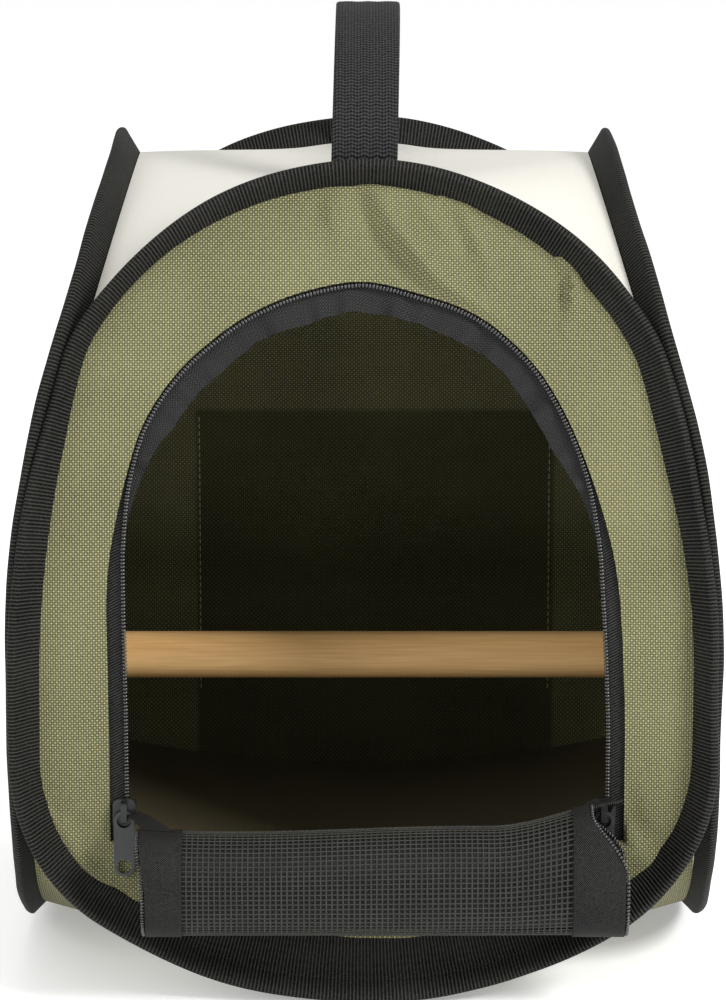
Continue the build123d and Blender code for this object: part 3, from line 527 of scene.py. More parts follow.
def woven_finish(name, light, dark, pitch, depth, roughness, turn=0.0, cloud=0.16, shade_by_pocket=False):
    """Plain-woven cloth: yarns over and under each other, a little uneven, with painted light on the raised
    yarns and painted shade between them.
    """
    finish, tree, shader = new_finish(name, roughness, specular=0.3, sheen=0.02)
    u, v, place = surface_uv(tree)
    if turn:
        across = plus(times(u, math.cos(turn)), times(v, math.sin(turn)))
        v = maths("SUBTRACT", times(v, math.cos(turn)), times(u, math.sin(turn)))
        u = across
    both = times(waves(u, 2 * pitch), waves(v, 2 * pitch))
    yarn = maths("POWER", maths("ABSOLUTE", both), 0.6)
    height = times(yarn, scaled(maths("GREATER_THAN", both, 0.0), 0.58, 0.42))
    tone = scaled(height, 1.1, scaled(cloudy(place, 22.0, 3.0), cloud * 2, -cloud))
    tone = plus(tone, scaled(cloudy(place, 900.0, 1.0), 0.24, -0.12))
    # painted light and shade: the raised yarns take the light colour, the lower yarns and the gaps the dark
    # one
    colour = mixed(tone, dark, light)
    if shade_by_pocket:
        # painted shade: over the pocket, the rear cloth's inner side is darkened towards a dark olive, for
        # the light that the pocket keeps out
        colour = mixed(times(painted_pocket_shade(place), 0.58), colour, (0.012, 0.011, 0.0))
    finish_up(shader, colour, height, depth)
    return finish


def webbing_finish(name, colour, pitch, depth):
    """Chunky webbing: rows of nubs that zigzag across the strap, with painted light on the nubs and painted
    shade between them.
    """
    finish, tree, shader = new_finish(name, 0.6, specular=0.09)
    u, v, place = surface_uv(tree)
    saw = maths("PINGPONG", maths("DIVIDE", v, 1.5 * pitch), 1.0)
    rows = waves(scaled(saw, 0.5 * pitch, u), pitch)
    height = scaled(waves(v, 0.75 * pitch), 0.22, scaled(rows, 0.38, 0.5))
    # painted light and shade: the nubs take a lit copy of the colour, the hollows a shaded copy
    tone = scaled(height, 0.9, scaled(cloudy(place, 1100.0, 1.0), 0.9, -0.45))
    finish_up(shader, mixed(tone, shaded(colour, 0.15), shaded(colour, 4.4)), height, depth)
    return finish


def ribbed_finish(name, colour, pitch, depth, roughness=0.62, slant=0.0):
    """Ribbed tape: ribs square to its run, or twill lines if they slant, with painted light on the ribs and
    painted shade between them.
    """
    finish, tree, shader = new_finish(name, roughness, specular=0.09)
    u, v, place = surface_uv(tree)
    if slant:
        u = scaled(v, slant, u)
    rib = scaled(waves(u, pitch), 0.5, 0.5)
    height = scaled(waves(v, pitch * 0.55), 0.12, rib)
    # painted light and shade: the ribs' tops take a lit copy of the colour, the grooves a shaded copy
    tone = scaled(maths("POWER", rib, 2.0), 0.72, scaled(cloudy(place, 1300.0, 1.0), 0.6, -0.24))
    tone = plus(tone, scaled(cloudy(place, 30.0, 3.0), 0.3, -0.15))
    finish_up(shader, mixed(tone, shaded(colour, 0.1), shaded(colour, 4.6)), height, depth)
    return finish


def plain_finish(name, colour, roughness, metallic=0.0, specular=0.5, scale=500.0):
    """Moulded, drawn or cast stuff with a faintly mottled surface."""
    finish, tree, shader = new_finish(name, roughness, metallic, specular)
    place = add_node(tree, "ShaderNodeTexCoord")
    mottle = cloudy(place, scale, 3.0)
    tone = scaled(cloudy(place, scale / 12, 2.0), 0.6, times(mottle, 0.4))
    finish_up(shader, mixed(tone, shaded(colour, 0.6), shaded(colour, 1.5)), mottle, 0.00004)
    return finish


def wood_finish(name, colour):
    """Plain-turned pale wood with long grain and a few wandering rings."""
    finish, tree, shader = new_finish(name, 0.48, specular=0.4)
    place = add_node(tree, "ShaderNodeTexCoord")
    stretched = grained(place, (5.0, 60.0, 60.0), (0.4, 0.2, 1.1))
    wander = add_node(tree, "ShaderNodeTexNoise", {"Vector": stretched, "Scale": 1.0, "Detail": 2.0})
    rings = add_node(
        tree,
        "ShaderNodeTexWave",
        {"Vector": stretched, "Scale": 0.35, "Distortion": 5.5, "Detail": 2.0, "Detail Scale": 0.8},
        bands_direction="Z",
        wave_profile="SIN",
    )
    drawn_out = grained(place, (40.0, 1500.0, 1500.0))
    hairs = add_node(tree, "ShaderNodeTexNoise", {"Vector": drawn_out, "Scale": 1.0, "Detail": 2.0})
    tone = scaled(rings.outputs["Fac"], 0.4, scaled(hairs.outputs[0], 0.9, -0.3))
    tone = scaled(wander.outputs[0], 0.5, tone)
    deep = (colour[0] * 0.72, colour[1] * 0.62, colour[2] * 0.5)
    finish_up(shader, mixed(tone, shaded(colour, 1.12), deep), hairs.outputs[0], 0.00008)
    return finish


FINISHES = {}


def finish_of(name):
    """The carrier's finishes, each made when it is first asked for."""
    if name in FINISHES:
        return FINISHES[name]
    sizes, hues = bpy.context.scene.carrier_sizes, bpy.context.scene.carrier_colours
    light, dark = tuple(hues.olive_light), tuple(hues.olive_dark)
    weave, rib = sizes.weave_pitch, sizes.rib_pitch
    # the woven, ribbed and webbing finishes paint light on their raised yarns, ribs or nubs and shade
    # between them
    makers = {
        "olive_cloth": lambda n: woven_finish(n, light, dark, weave, 0.00035, 0.78),
        # the rear wall's cloth, with the pocket's painted shade on its inner side
        "olive_rear": lambda n: woven_finish(n, light, dark, weave, 0.00035, 0.78, shade_by_pocket=True),
        "cream_cloth": lambda n: woven_finish(
            n, tuple(hues.cream), shaded(hues.cream, 0.93), 0.0007, 0.00004, 0.55, cloud=0.05
        ),
        "black_tape": lambda n: ribbed_finish(n, tuple(hues.tape), rib, 0.0005),
        "zip_tape": lambda n: ribbed_finish(n, tuple(hues.zip_tape), 0.0011, 0.0002, slant=0.5),
        "door_band": lambda n: ribbed_finish(n, tuple(hues.band), 0.0009, 0.00016, 0.6, slant=1.0),
        "zip_coil": lambda n: plain_finish(n, tuple(hues.zip_coil), 0.26, specular=0.8, scale=900),
        "zip_metal": lambda n: plain_finish(n, tuple(hues.metal), 0.36, metallic=0.75, scale=700),
        "pull_metal": lambda n: plain_finish(n, shaded(hues.metal, 1.3), 0.33, metallic=0.7, scale=700),
        "webbing": lambda n: webbing_finish(n, tuple(hues.webbing), 0.0016, 0.0007),
        "facing": lambda n: woven_finish(
            n,
            shaded(hues.zip_tape, 1.3),
            shaded(hues.zip_tape, 0.08),
            0.0009,
            0.0004,
            0.5,
            turn=0.6,
            cloud=0.5,
        ),
        "black_mesh": lambda n: plain_finish(n, tuple(hues.mesh), 0.42, specular=0.25, scale=1200),
        # painted shade: the rolled door's inner turns take a darker copy of the mesh colour
        "mesh_inner": lambda n: woven_finish(
            n, shaded(hues.mesh, 0.3), shaded(hues.mesh, 0.06), sizes.mesh_pitch, 0.0004, 0.6
        ),
        "perch_wood": lambda n: wood_finish(n, tuple(hues.wood)),
        "steel": lambda n: plain_finish(n, (0.45, 0.45, 0.44), 0.3, metallic=1.0, scale=300),
        "board": lambda n: plain_finish(n, (0.13, 0.10, 0.07), 0.7, scale=200),
        "board_cover": lambda n: woven_finish(
            n, shaded(hues.board, 1.5), shaded(hues.board, 0.6), 0.0008, 0.00015, 0.6, cloud=0.3
        ),
        "thread": lambda n: plain_finish(n, (0.42, 0.39, 0.24), 0.6, scale=1500),
    }
    FINISHES[name] = makers[name](name)
    return FINISHES[name]


def sewn_on(piece, slot, *nodes, body="shell", **cut):
    """Says a piece's body and the CAD nodes it stands for. Its slot and how its cloth was cut are not used.
    """
    if body:
        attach(piece, body)
    for node in nodes:
        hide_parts(node)


def dress(node, finish):
    """Gives a CAD node, which stays as it is, its finish."""
    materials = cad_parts[node].data.materials
    materials.clear()
    materials.append(finish_of(finish))


# ---------------------------------------------------------------- what repeats along a path


def path_tree():
    """Geometry Nodes that set a small piece at even steps along a path, turned to follow it."""
    found = bpy.data.node_groups.get("carrier_along_path")
    if found:
        return found
    tree = bpy.data.node_groups.new("carrier_along_path", "GeometryNodeTree")
    for label, kind, way in (
        ("Geometry", "NodeSocketGeometry", "INPUT"),
        ("Piece", "NodeSocketObject", "INPUT"),
        ("Spacing", "NodeSocketFloat", "INPUT"),
        ("Unevenness", "NodeSocketFloat", "INPUT"),
        ("Seed", "NodeSocketInt", "INPUT"),
        ("Finish", "NodeSocketMaterial", "INPUT"),
        ("Geometry", "NodeSocketGeometry", "OUTPUT"),
    ):
        tree.interface.new_socket(label, in_out=way, socket_type=kind)
    given = tree.nodes.new("NodeGroupInput").outputs
    curve = add_node(tree, "GeometryNodeMeshToCurve", {"Mesh": given["Geometry"]})
    spaced = {"Curve": curve.outputs[0], "Length": given["Spacing"]}
    steps = add_node(tree, "GeometryNodeResampleCurve", spaced, mode="LENGTH")
    piece = add_node(tree, "GeometryNodeObjectInfo", {"Object": given["Piece"]})
    along, over = (
        add_node(tree, "GeometryNodeInputNamedAttribute", {"Name": name}, data_type="FLOAT_VECTOR")
        for name in ("along", "over")
    )
    axes = {0: along.outputs["Attribute"], 1: over.outputs["Attribute"]}
    turn = add_node(tree, "FunctionNodeAxesToRotation", axes, primary_axis="X", secondary_axis="Z")
    least = maths("SUBTRACT", 1.0, given["Unevenness"])
    limits = {"Min": least, "Max": (1.0, 1.0, 1.0), "Seed": given["Seed"]}
    size = add_node(tree, "FunctionNodeRandomValue", limits, data_type="FLOAT_VECTOR")
    each = {
        "Points": steps.outputs[0],
        "Instance": piece.outputs["Geometry"],
        "Rotation": turn.outputs[0],
        "Scale": size.outputs[0],
    }
    points = add_node(tree, "GeometryNodeInstanceOnPoints", each)
    real = add_node(tree, "GeometryNodeRealizeInstances", {0: points.outputs[0]})
    coated = {"Geometry": real.outputs[0], "Material": given["Finish"]}
    coat = add_node(tree, "GeometryNodeSetMaterial", coated)
    result = tree.nodes.new("NodeGroupOutput")
    tree.links.new(coat.outputs[0], result.inputs[0])
    return tree


def along_path(
    name, points, along, over, piece_points, piece_faces, spacing, finish, uneven=0.04, seed=3, shape=None
):
    """A plain mesh of a small piece repeated along a path, with the piece's x along the path."""
    path = bpy.data.meshes.new(f"{name}_path")
    path.from_pydata(in_frame(points).tolist(), [(k, k + 1) for k in range(len(points) - 1)], [])
    for label, value in (("along", along), ("over", over)):
        attribute = path.attributes.new(label, "FLOAT_VECTOR", "POINT")
        attribute.data.foreach_set("vector", np.asarray(value, np.float32).ravel())
    piece = bpy.data.meshes.new(f"{name}_piece")
    corners = (np.asarray(piece_points, float) / 1000).tolist()
    piece.from_pydata(corners, [], [tuple(face) for face in piece_faces])
    bearer = placed(f"{name}_path", path)
    small = placed(f"{name}_piece", piece)
    turned_out(piece)
    tree = path_tree()
    modifier = bearer.modifiers.new("along_path", "NODES")
    modifier.node_group = tree
    values = {"Piece": small, "Spacing": spacing / 1000, "Unevenness": uneven}
    values |= {"Seed": seed, "Finish": finish}
    for item in tree.interface.items_tree:
        if item.item_type == "SOCKET" and item.in_out == "INPUT" and item.name in values:
            modifier[item.identifier] = values[item.name]
    bpy.context.view_layer.update()
    evaluated = bearer.evaluated_get(bpy.context.evaluated_depsgraph_get())
    mesh = bpy.data.meshes.new_from_object(evaluated)
    if not mesh.polygons:
        raise RuntimeError(f"{name}: nothing was made along the path")
    for made in (bearer, small):
        bpy.data.objects.remove(made)
    for attribute in ("along", "over"):
        if attribute in mesh.attributes:
            mesh.attributes.remove(mesh.attributes[attribute])
    mesh.name = name
    if shape is not None:
        co = np.zeros(len(mesh.vertices) * 3)
        mesh.vertices.foreach_get("co", co)
        co = co.reshape(-1, 3) * 1000
        co[:, 1] -= HOOPS_Y
        mesh.vertices.foreach_set("co", in_frame(shape(co)).ravel())
        mesh.update()
    smoothed(mesh, 50)
    return placed(name, mesh)


def bead(length, width, height, sides=8):
    """A small pillow: what one turn of a coil or one stitch looks like."""
    rows = []
    for x, share in ((-0.5, 0.55), (-0.22, 1.0), (0.22, 1.0), (0.5, 0.55)):
        turns = np.arange(sides) * 2 * math.pi / sides
        y, z = width / 2 * share * np.cos(turns), height / 2 * share * np.sin(turns)
        rows.append(np.stack([0 * turns + x * length, y, z], -1))
    points = np.concatenate(rows)
    faces = [tuple(f) for f in grid_faces(4, sides, False, True)[0]]
    faces += [tuple(range(sides)), tuple(range(3 * sides, 4 * sides))]
    return points, faces


# ---------------------------------------------------------------- the walls


# How far the real doorway's zip lies outside its drawn line, by direction from the wall's middle.
DOORWAY_DRIFT = (
    (-44, 1.2), (-39, 1.4), (-26, 1.5), (-8, 0.3), (20, -2.4), (42, -1.9), (49, -1.4), (55, -0.9),
    (62, -1.7), (68, -2.2), (73, -3.2), (79, -4.6), (83, -4.2), (90, -2.6), (99, -3.3), (108, -2.4),
    (119, -0.3), (125, 1.6), (133, 2.9), (140, 3.3), (160, 0.1), (180, -0.2), (206, -0.9), (224, -1.0),
)


def doorway_path(low_z, step=2.0):
    """The zip's line from the left jamb over the arch to the right, and its way out, in x and z."""
    arch_z = DOOR_TOP_Z - ARCH_RADIUS
    jamb_x = DOOR_HALF - JAMB_RADIUS
    jamb_z = arch_z - math.sqrt((JAMB_RADIUS - ARCH_RADIUS) ** 2 - jamb_x**2)
    meet = math.atan2(arch_z - jamb_z, -jamb_x)
    count = max(2, round((jamb_z - low_z) / step))
    points = [(DOOR_HALF, low_z + (jamb_z - low_z) * k / count) for k in range(count)]
    outs = [(1.0, 0.0)] * count
    for middle_x, middle_z, radius, start, end, last in (
        (jamb_x, jamb_z, JAMB_RADIUS, 0, meet, 0),
        (0, arch_z, ARCH_RADIUS, meet, math.pi / 2, 1),
    ):
        count = round(radius * (end - start) / step)
        for k in range(count + last):
            turn = start + (end - start) * k / count
            outs.append((math.cos(turn), math.sin(turn)))
            points.append((middle_x + radius * math.cos(turn), middle_z + radius * math.sin(turn)))
    right_points, right_outs = np.array(points), np.array(outs)
    flip = np.array([-1, 1])
    line = np.concatenate([right_points * flip, right_points[-2::-1]])
    out = np.concatenate([right_outs * flip, right_outs[-2::-1]])
    looking = (np.degrees(np.arctan2(line[:, 1] - 150, line[:, 0])) + 90) % 360 - 90
    drift = np.interp(looking, *zip(*DOORWAY_DRIFT))
    drift = np.convolve(np.pad(drift, 4, "edge"), np.ones(9) / 9, "valid")
    return line + out * drift[:, None], out


def zip_margin(z):
    """How far the olive cloth's edge stands off the zip: it folds close over the arch."""
    return 1.3 + (ZIP_MARGIN - 1.3) * eased((212 - z) / 62)


CREASES = (
    # each fold of the front wall: its line in x and z, its depth and its width
    (((-3, 307), (6, 291), (22, 272), (44, 255)), 1.0, 3.6),
    (((31, 301), (37, 290), (43, 279)), 0.55, 3.0),
    (((75, 278), (75.5, 271), (75, 262)), 0.75, 2.2),
    (((-18, 305), (-17, 297), (-14, 288)), 0.35, 3.0),
    (((14, 303), (24, 292), (36, 283)), 0.3, 3.0),
    (((-116, 66), (-108, 52), (-101, 44)), -0.4, 3.5),
    (((112, 60), (104, 70), (98, 84)), 0.3, 4.0),
)


def folds(x, z):
    """How far the front wall's folds push it out."""
    depth = bpy.context.scene.carrier_sizes.crease_depth * 1000
    total = 0.35 * np.sin(x / 17 + 0.6) * np.sin(z / 23 + 1.1)
    for line, deep, wide in CREASES:
        nearest = np.full(x.shape, 1e9)
        signed = np.zeros(x.shape)
        fade = np.zeros(x.shape)
        runs = len(line) - 1
        for k, (a, b) in enumerate(zip(line, line[1:])):
            a, b = np.array(a, float), np.array(b, float)
            run = b - a
            t = np.clip(((x - a[0]) * run[0] + (z - a[1]) * run[1]) / (run @ run), 0, 1)
            dx, dz = x - a[0] - t * run[0], z - a[1] - t * run[1]
            far = np.hypot(dx, dz)
            close = far < nearest
            cross = (run[0] * dz - run[1] * dx) / np.linalg.norm(run)
            nearest = np.where(close, far, nearest)
            signed = np.where(close, np.sign(cross) * far, signed)
            fade = np.where(close, (k + t) / runs, fade)
        share = np.sin(math.pi * np.clip(0.12 + 0.82 * fade, 0, 1)) ** 0.7
        valley = np.exp(-((signed / wide) ** 2))
        ridge = np.exp(-(((signed - 1.9 * wide) / (1.3 * wide)) ** 2))
        total = total + depth * deep * share * (0.95 * ridge - 0.5 * valley)
    return total


def wall_grid(inner, outer, rings):
    """Rings of x and z from an inner loop out to an outer one, seen from the wall's middle."""
    middle = np.array([0, 150.0])
    sight = outer - middle
    angle = np.arctan2(sight[:, 1], sight[:, 0])
    order = np.argsort(angle)
    reach = np.linalg.norm(sight, axis=1)
    looking = np.arctan2(inner[:, 1] - 150, inner[:, 0])
    far = np.interp(looking, angle[order], reach[order], period=2 * math.pi)
    rim = middle + np.stack([np.cos(looking), np.sin(looking)], -1) * far[:, None]
    share = np.linspace(0, 1, rings)[:, None, None]
    return inner[None] * (1 - share) + rim[None] * share, share[..., 0]


class CARRIER_OT_walls(bpy.types.Operator):
    """Four olive walls: the front one round its doorway, with the folds that its gathers make."""

    bl_idname = "carrier.walls"
    bl_label = "Walls"

    def execute(self, context):
        seam = seam_line()[0][:, (0, 2)]
        path, outs = doorway_path(DOOR_LOW_Z)
        edge = path + outs * zip_margin(path[:, 1:2])
        across = np.linspace(edge[-1, 0], edge[0, 0], 90)[1:-1]
        sill = np.stack([across, 0 * across + DOOR_LOW_Z], -1)
        doorway = np.concatenate([edge, sill])
        small = np.array([0, 150.0]) + (seam - [0, 150.0]) * 0.004
        for wall, quarter in WALLS:
            loop = doorway if wall == "front" else small
            plan, share = wall_grid(loop, seam, 26 if wall == "front" else 34)
            x, z = plan[..., 0], plan[..., 1]
            flat = on_wall(x, z)
            push = 0.4 * np.sin(x / 23 + quarter) * np.sin(z / 31 + 2 * quarter)
            if wall == "front":
                push = folds(x, z) + 1.7 * np.sin(math.pi * share)
                push = 0.5 * (push + np.sqrt(push**2 + 0.3)) - 0.2
                push = push * eased(share / 0.10) * eased((1 - share) / 0.07)
            else:
                push = (push - 1.4) * eased((1 - share) / 0.25)
            outer = on_wall(x, z, push)
            inner = on_wall(x, z, push - CLOTH)
            uv = np.stack([x, up_the_wall(z)], -1)
            # the rear wall takes the cloth with the pocket's painted shade on its inner side
            finish = finish_of("olive_rear" if wall == "rear" else "olive_cloth")
            sides = (settled(turned(side, quarter)) for side in (outer, inner))
            piece = sheet_solid(f"{wall}_wall_cloth", *sides, uv, True, finish)
            cut = {"flat": (0.258, 0.325), "held": "stretched", "rests_on": [f"{wall}_binding"]}
            sewn_on(piece, "olive_cloth", f"{wall}_panel", area=surface_area(flat, True), **cut)
        return {"FINISHED"}


def vaulted_skin(front, size, lift):
    """A vault between four like arches, level along each diagonal: a grid of points."""
    run = run_lengths(front)
    even = np.linspace(0, run[-1], size)
    edge = np.stack([np.interp(even, run, front[:, k]) for k in range(3)], -1)
    right, rear, left = turned(edge, 1), turned(edge, 2)[::-1], turned(edge, 3)[::-1]
    u = np.linspace(0, 1, size)[None, :, None]
    v = np.linspace(0, 1, size)[:, None, None]
    skin = (1 - v) * edge[None] + v * rear[None]
    skin[:, 0], skin[:, -1] = left, right
    for _ in range(20 * size):
        skin[1:-1, 1:-1] = (skin[:-2, 1:-1] + skin[2:, 1:-1] + skin[1:-1, :-2] + skin[1:-1, 2:]) / 4
    reach = np.abs(edge[:, 0]) + np.abs(edge[:, 1])
    order = np.argsort(reach)
    skin[1:-1, 1:-1, 2] = np.interp(
        np.abs(skin[1:-1, 1:-1, 0]) + np.abs(skin[1:-1, 1:-1, 1]), reach[order], edge[order, 2]
    )
    skin[..., 2] += (lift * 16 * (u * (1 - u)) * (v * (1 - v)))[..., 0]
    return skin


class CARRIER_OT_crown_and_base(bpy.types.Operator):
    """The cream top and the olive base, each stretched between four arches."""

    bl_idname = "carrier.crown_and_base"
    bl_label = "Crown and base"

    def execute(self, context):
        points, _, _, half = seam_line(2.0)
        right = points[:half]
        corner_rise = shoulder_centre()[1] + SHOULDER_RADIUS * math.sin(math.atan(math.sin(LEAN)))
        corner_z = HOOP_TOP_Z + corner_rise * math.cos(LEAN)
        top = right[right[:, 2] >= corner_z - 0.01]
        foot = right[right[:, 2] <= HEEL_Z + 0.01]
        flip = np.array([-1, 1, 1])
        crown_edge = np.concatenate([top * flip, top[::-1][1:]])
        base_edge = np.concatenate([(foot * flip)[::-1], foot[1:]])
        crown_lift = -1000 * context.scene.carrier_sizes.crown_sag
        for name, edge, lift, node, towards, slot in (
            ("cream_top_cloth", crown_edge, crown_lift, "top_panel", 1, "cream_cloth"),
            ("base_cloth", base_edge, 0.6, "base_panel", -1, "olive_cloth"),
        ):
            skin = vaulted_skin(edge, 61, lift)
            inner = skin - grid_normals(skin, np.array([0, 0, towards])) * CLOTH
            piece = sheet_solid(name, settled(skin), settled(inner), skin[..., :2], False, finish_of(slot))
            area = surface_area(skin)
            side = math.sqrt(area) * 1.08
            held_by = ["front_binding", "rear_binding"]
            sewn_on(piece, slot, node, flat=(side, side), held="stretched", rests_on=held_by, area=area)
        return {"FINISHED"}


# ---------------------------------------------------------------- the bound seams


# Each flange's share of its full reach by the direction in which it is seen from the wall's middle.
FRONT_FLANGE = (
    (0, 0.80), (20, 0.68), (48, 0.62), (70, 0.76), (90, 0.86), (110, 0.72), (128, 0.57), (145, 0.57),
    (165, 0.76), (180, 0.88), (205, 0.88), (230, 0.88), (250, 0.98), (270, 1.0), (290, 0.98),
    (310, 0.90), (335, 0.82),
)
OTHER_FLANGES = (
    (0, 0.72), (50, 0.84), (90, 0.90), (130, 0.84), (180, 0.72), (225, 0.55), (270, 0.60), (315, 0.55),
)
# How much further the front flange's outer leg laps over the wall, in millimetres.
FRONT_LAP = (
    (0, 0.2), (15, 2.0), (25, 3.4), (45, 4.0), (62, 2.4), (90, -0.5), (120, -0.2), (135, 0.4),
    (150, 2.2), (165, 2.5), (180, 2.2), (200, 2.0), (215, 1.6), (232, 4.0), (252, 15.0),
    (270, 16.0), (288, 15.0), (308, 3.5), (325, 0.4), (345, 0.0),
)


def binding_section():
    """The folded tape across the seam: x runs out along the flange, y to the hoop's front."""
    turns = np.radians(np.linspace(-90, 90, 9))
    outer = [(12 + 2.05 * math.cos(t), 2.1 + 2.05 * math.sin(t)) for t in turns]
    inner = [(12 + 1.3 * math.cos(t), 2.1 + 1.3 * math.sin(t)) for t in turns[::-1]]
    back = [(0.4, 0.1), (4.0, 0.1), (8.0, 0.1)]
    face = [(9.2, 3.85), (6.4, 3.5), (3.6, 3.0), (1.4, 2.5), (-0.4, 2.0), (-1.5, 1.75), (-1.5, 1.1)]
    lining = [(-0.2, 1.3), (3.0, 2.2), (8.0, 3.05)]
    return back + outer + face + lining + inner + [(8.0, 0.8), (4.0, 0.8), (0.4, 0.8)]


class CARRIER_OT_bindings(bpy.types.Operator):
    """Black ribbed tape folded over each hoop's seam, and the spring wire inside its fold."""

    bl_idname = "carrier.bindings"
    bl_label = "Seam bindings and wires"

    def execute(self, context):
        points, outs, fronts, _ = seam_line(2.0)
        run = run_lengths(np.concatenate([points, points[:1]]))
        for wall, quarter in WALLS:
            phase = 1.7 * quarter
            way = run[:-1] / run[-1] * 2 * math.pi
            wave = 0.32 * np.sin(way * 23 + phase) + 0.22 * np.sin(way * 41 + 2 * phase)
            looking = np.degrees(np.arctan2(points[:, 2] - 150, points[:, 0])) % 360
            flange = FRONT_FLANGE if wall == "front" else OTHER_FLANGES
            reach = np.interp(looking, *zip(*flange), period=360)
            reach = (reach + 0.02 * np.sin(way * 13 + phase))[:, None]
            line = (points, outs * reach, fronts + outs * (wave * 0.05)[:, None])

            def shape(grid, quarter=quarter):
                low = settled(turned(grid, quarter))
                low[..., 2] = np.maximum(low[..., 2], 0.05)
                return low

            section = np.array(binding_section())
            root = np.clip((3.6 - section[:, 0]) / 5.1, 0, 1) * (section[:, 1] > 1)
            cover = np.interp(looking, *zip(*FRONT_LAP), period=360) * (wall == "front")
            slide = (0.72 * fronts - 0.7 * outs)[:, None] * (cover[:, None] * root)[..., None]

            def lapped(grid, shape=shape, slide=slide):
                return shape(grid + slide)

            tape = swept(f"{wall}_seam_tape", *line, section, True, finish_of("black_tape"), 60, lapped)
            wire_turns = np.arange(8) * math.pi / 4
            circle = np.stack([12 + 1.2 * np.cos(wire_turns), 2.1 + 1.2 * np.sin(wire_turns)], -1)
            wire = swept(f"{wall}_spring_wire", *line, circle, True, finish_of("steel"), 60, shape)
            flat = (0.0335, run[-1] / 1000)
            sewn_on(tape, "black_tape", f"{wall}_binding", flat=flat, held="folded", rests_on=[wire.name])
            sewn_on(wire, "spring_wire", f"{wall}_hoop_wire")
        return {"FINISHED"}


# ---------------------------------------------------------------- the doorway


def doorway_strip(name, inner, outer, low_z, face_out, thick, finish, rows=5, ripple=0.0, ragged=0.0):
    """A strip round the doorway between two distances outside the zip's line."""
    path, outs = doorway_path(low_z)
    run = run_lengths(path)
    margin = np.linspace(0, 1, rows)[:, None]
    wave = np.sin(run / 3.1) * np.sin(run / 13.1 + 1) + 0.5 * np.sin(run / 1.7 + 2) - 0.6
    low = inner + ragged * (np.sin(run / 7.1 + 0.5) * np.sin(run / 27.0) + 0.22 * np.sin(run / 2.3))
    if ragged:
        low = low * eased((run - 14) / 66) * eased((run[-1] - run - 8) / 66)
    reach = low[None] * (1 - margin) + outer * margin
    x = path[None, :, 0] + outs[None, :, 0] * reach
    z = path[None, :, 1] + outs[None, :, 1] * reach
    out = face_out + ripple * wave[None] * (1 - margin)
    top = on_wall(x, z, out)
    under = on_wall(x, z, out - thick)
    uv = np.stack([np.broadcast_to(run[None], x.shape), reach], -1)
    return sheet_solid(name, top, under, uv, False, finish), surface_area(top)


class CARRIER_OT_doorway(bpy.types.Operator):
    """The doorway's zip tape, its coil, the lining that faces the arch and the tape on the sill."""

    bl_idname = "carrier.doorway"
    bl_label = "Doorway zip"

    def execute(self, context):
        back = -CLOTH - GAP
        low_z = DOOR_LOW_Z - ZIP_MARGIN
        tape, area = doorway_strip(
            "zip_tape_round_doorway", 0.0, ZIP_TAPE_WIDTH, low_z, back, ZIP_TAPE, finish_of("zip_tape")
        )
        cut = {"flat": (0.013, area / 0.013), "held": "laid", "rests_on": ["front_wall_cloth"]}
        sewn_on(tape, "zip_tape", "opening_zip_tape", **cut)

        back -= ZIP_TAPE + GAP
        facing, area = doorway_strip(
            "arch_facing", -9.6, 1.8, 158.0, back, 0.8, finish_of("facing"), 11, 1.5, 0.75
        )
        cut = {"flat": (0.0115, area / 0.0108), "held": "gathered", "rests_on": [tape.name]}
        sewn_on(facing, "black_tape", "opening_facing", **cut)

        path, _ = doorway_path(64.0, 1.0)
        line = on_wall(path[:, 0], path[:, 1], 0.75 - CLOTH)
        normals = wall_normal(path[:, 1])
        turn = bead(1.12, 2.1, 1.35)
        pitch = context.scene.carrier_sizes.coil_pitch * 1000
        black = finish_of("zip_coil")
        coil = along_path("fixed_zip_coil", line, ways(line), normals, *turn, pitch, black, 0.05)
        sewn_on(coil, "zip_coil", "opening_zip_coil")

        x, z = np.meshgrid(np.linspace(-90, 90, 60), np.linspace(54, 61.8, 4))
        wave = 0.12 * np.sin(x / 3.0)
        sides = (on_wall(x, z, out + wave) for out in (0.8, 0.1))
        sill = sheet_solid("sill_tape_cloth", *sides, np.stack([x, z], -1), False, finish_of("black_tape"))
        cut = {"flat": (0.18, 0.0115), "held": "laid", "rests_on": ["front_wall_cloth"], "area": 0.0016}
        sewn_on(sill, "black_tape", "door_sill_tape", **cut)
        dress("zip_end_stops", "zip_metal")
        return {"FINISHED"}


# ---------------------------------------------------------------- the rear pocket


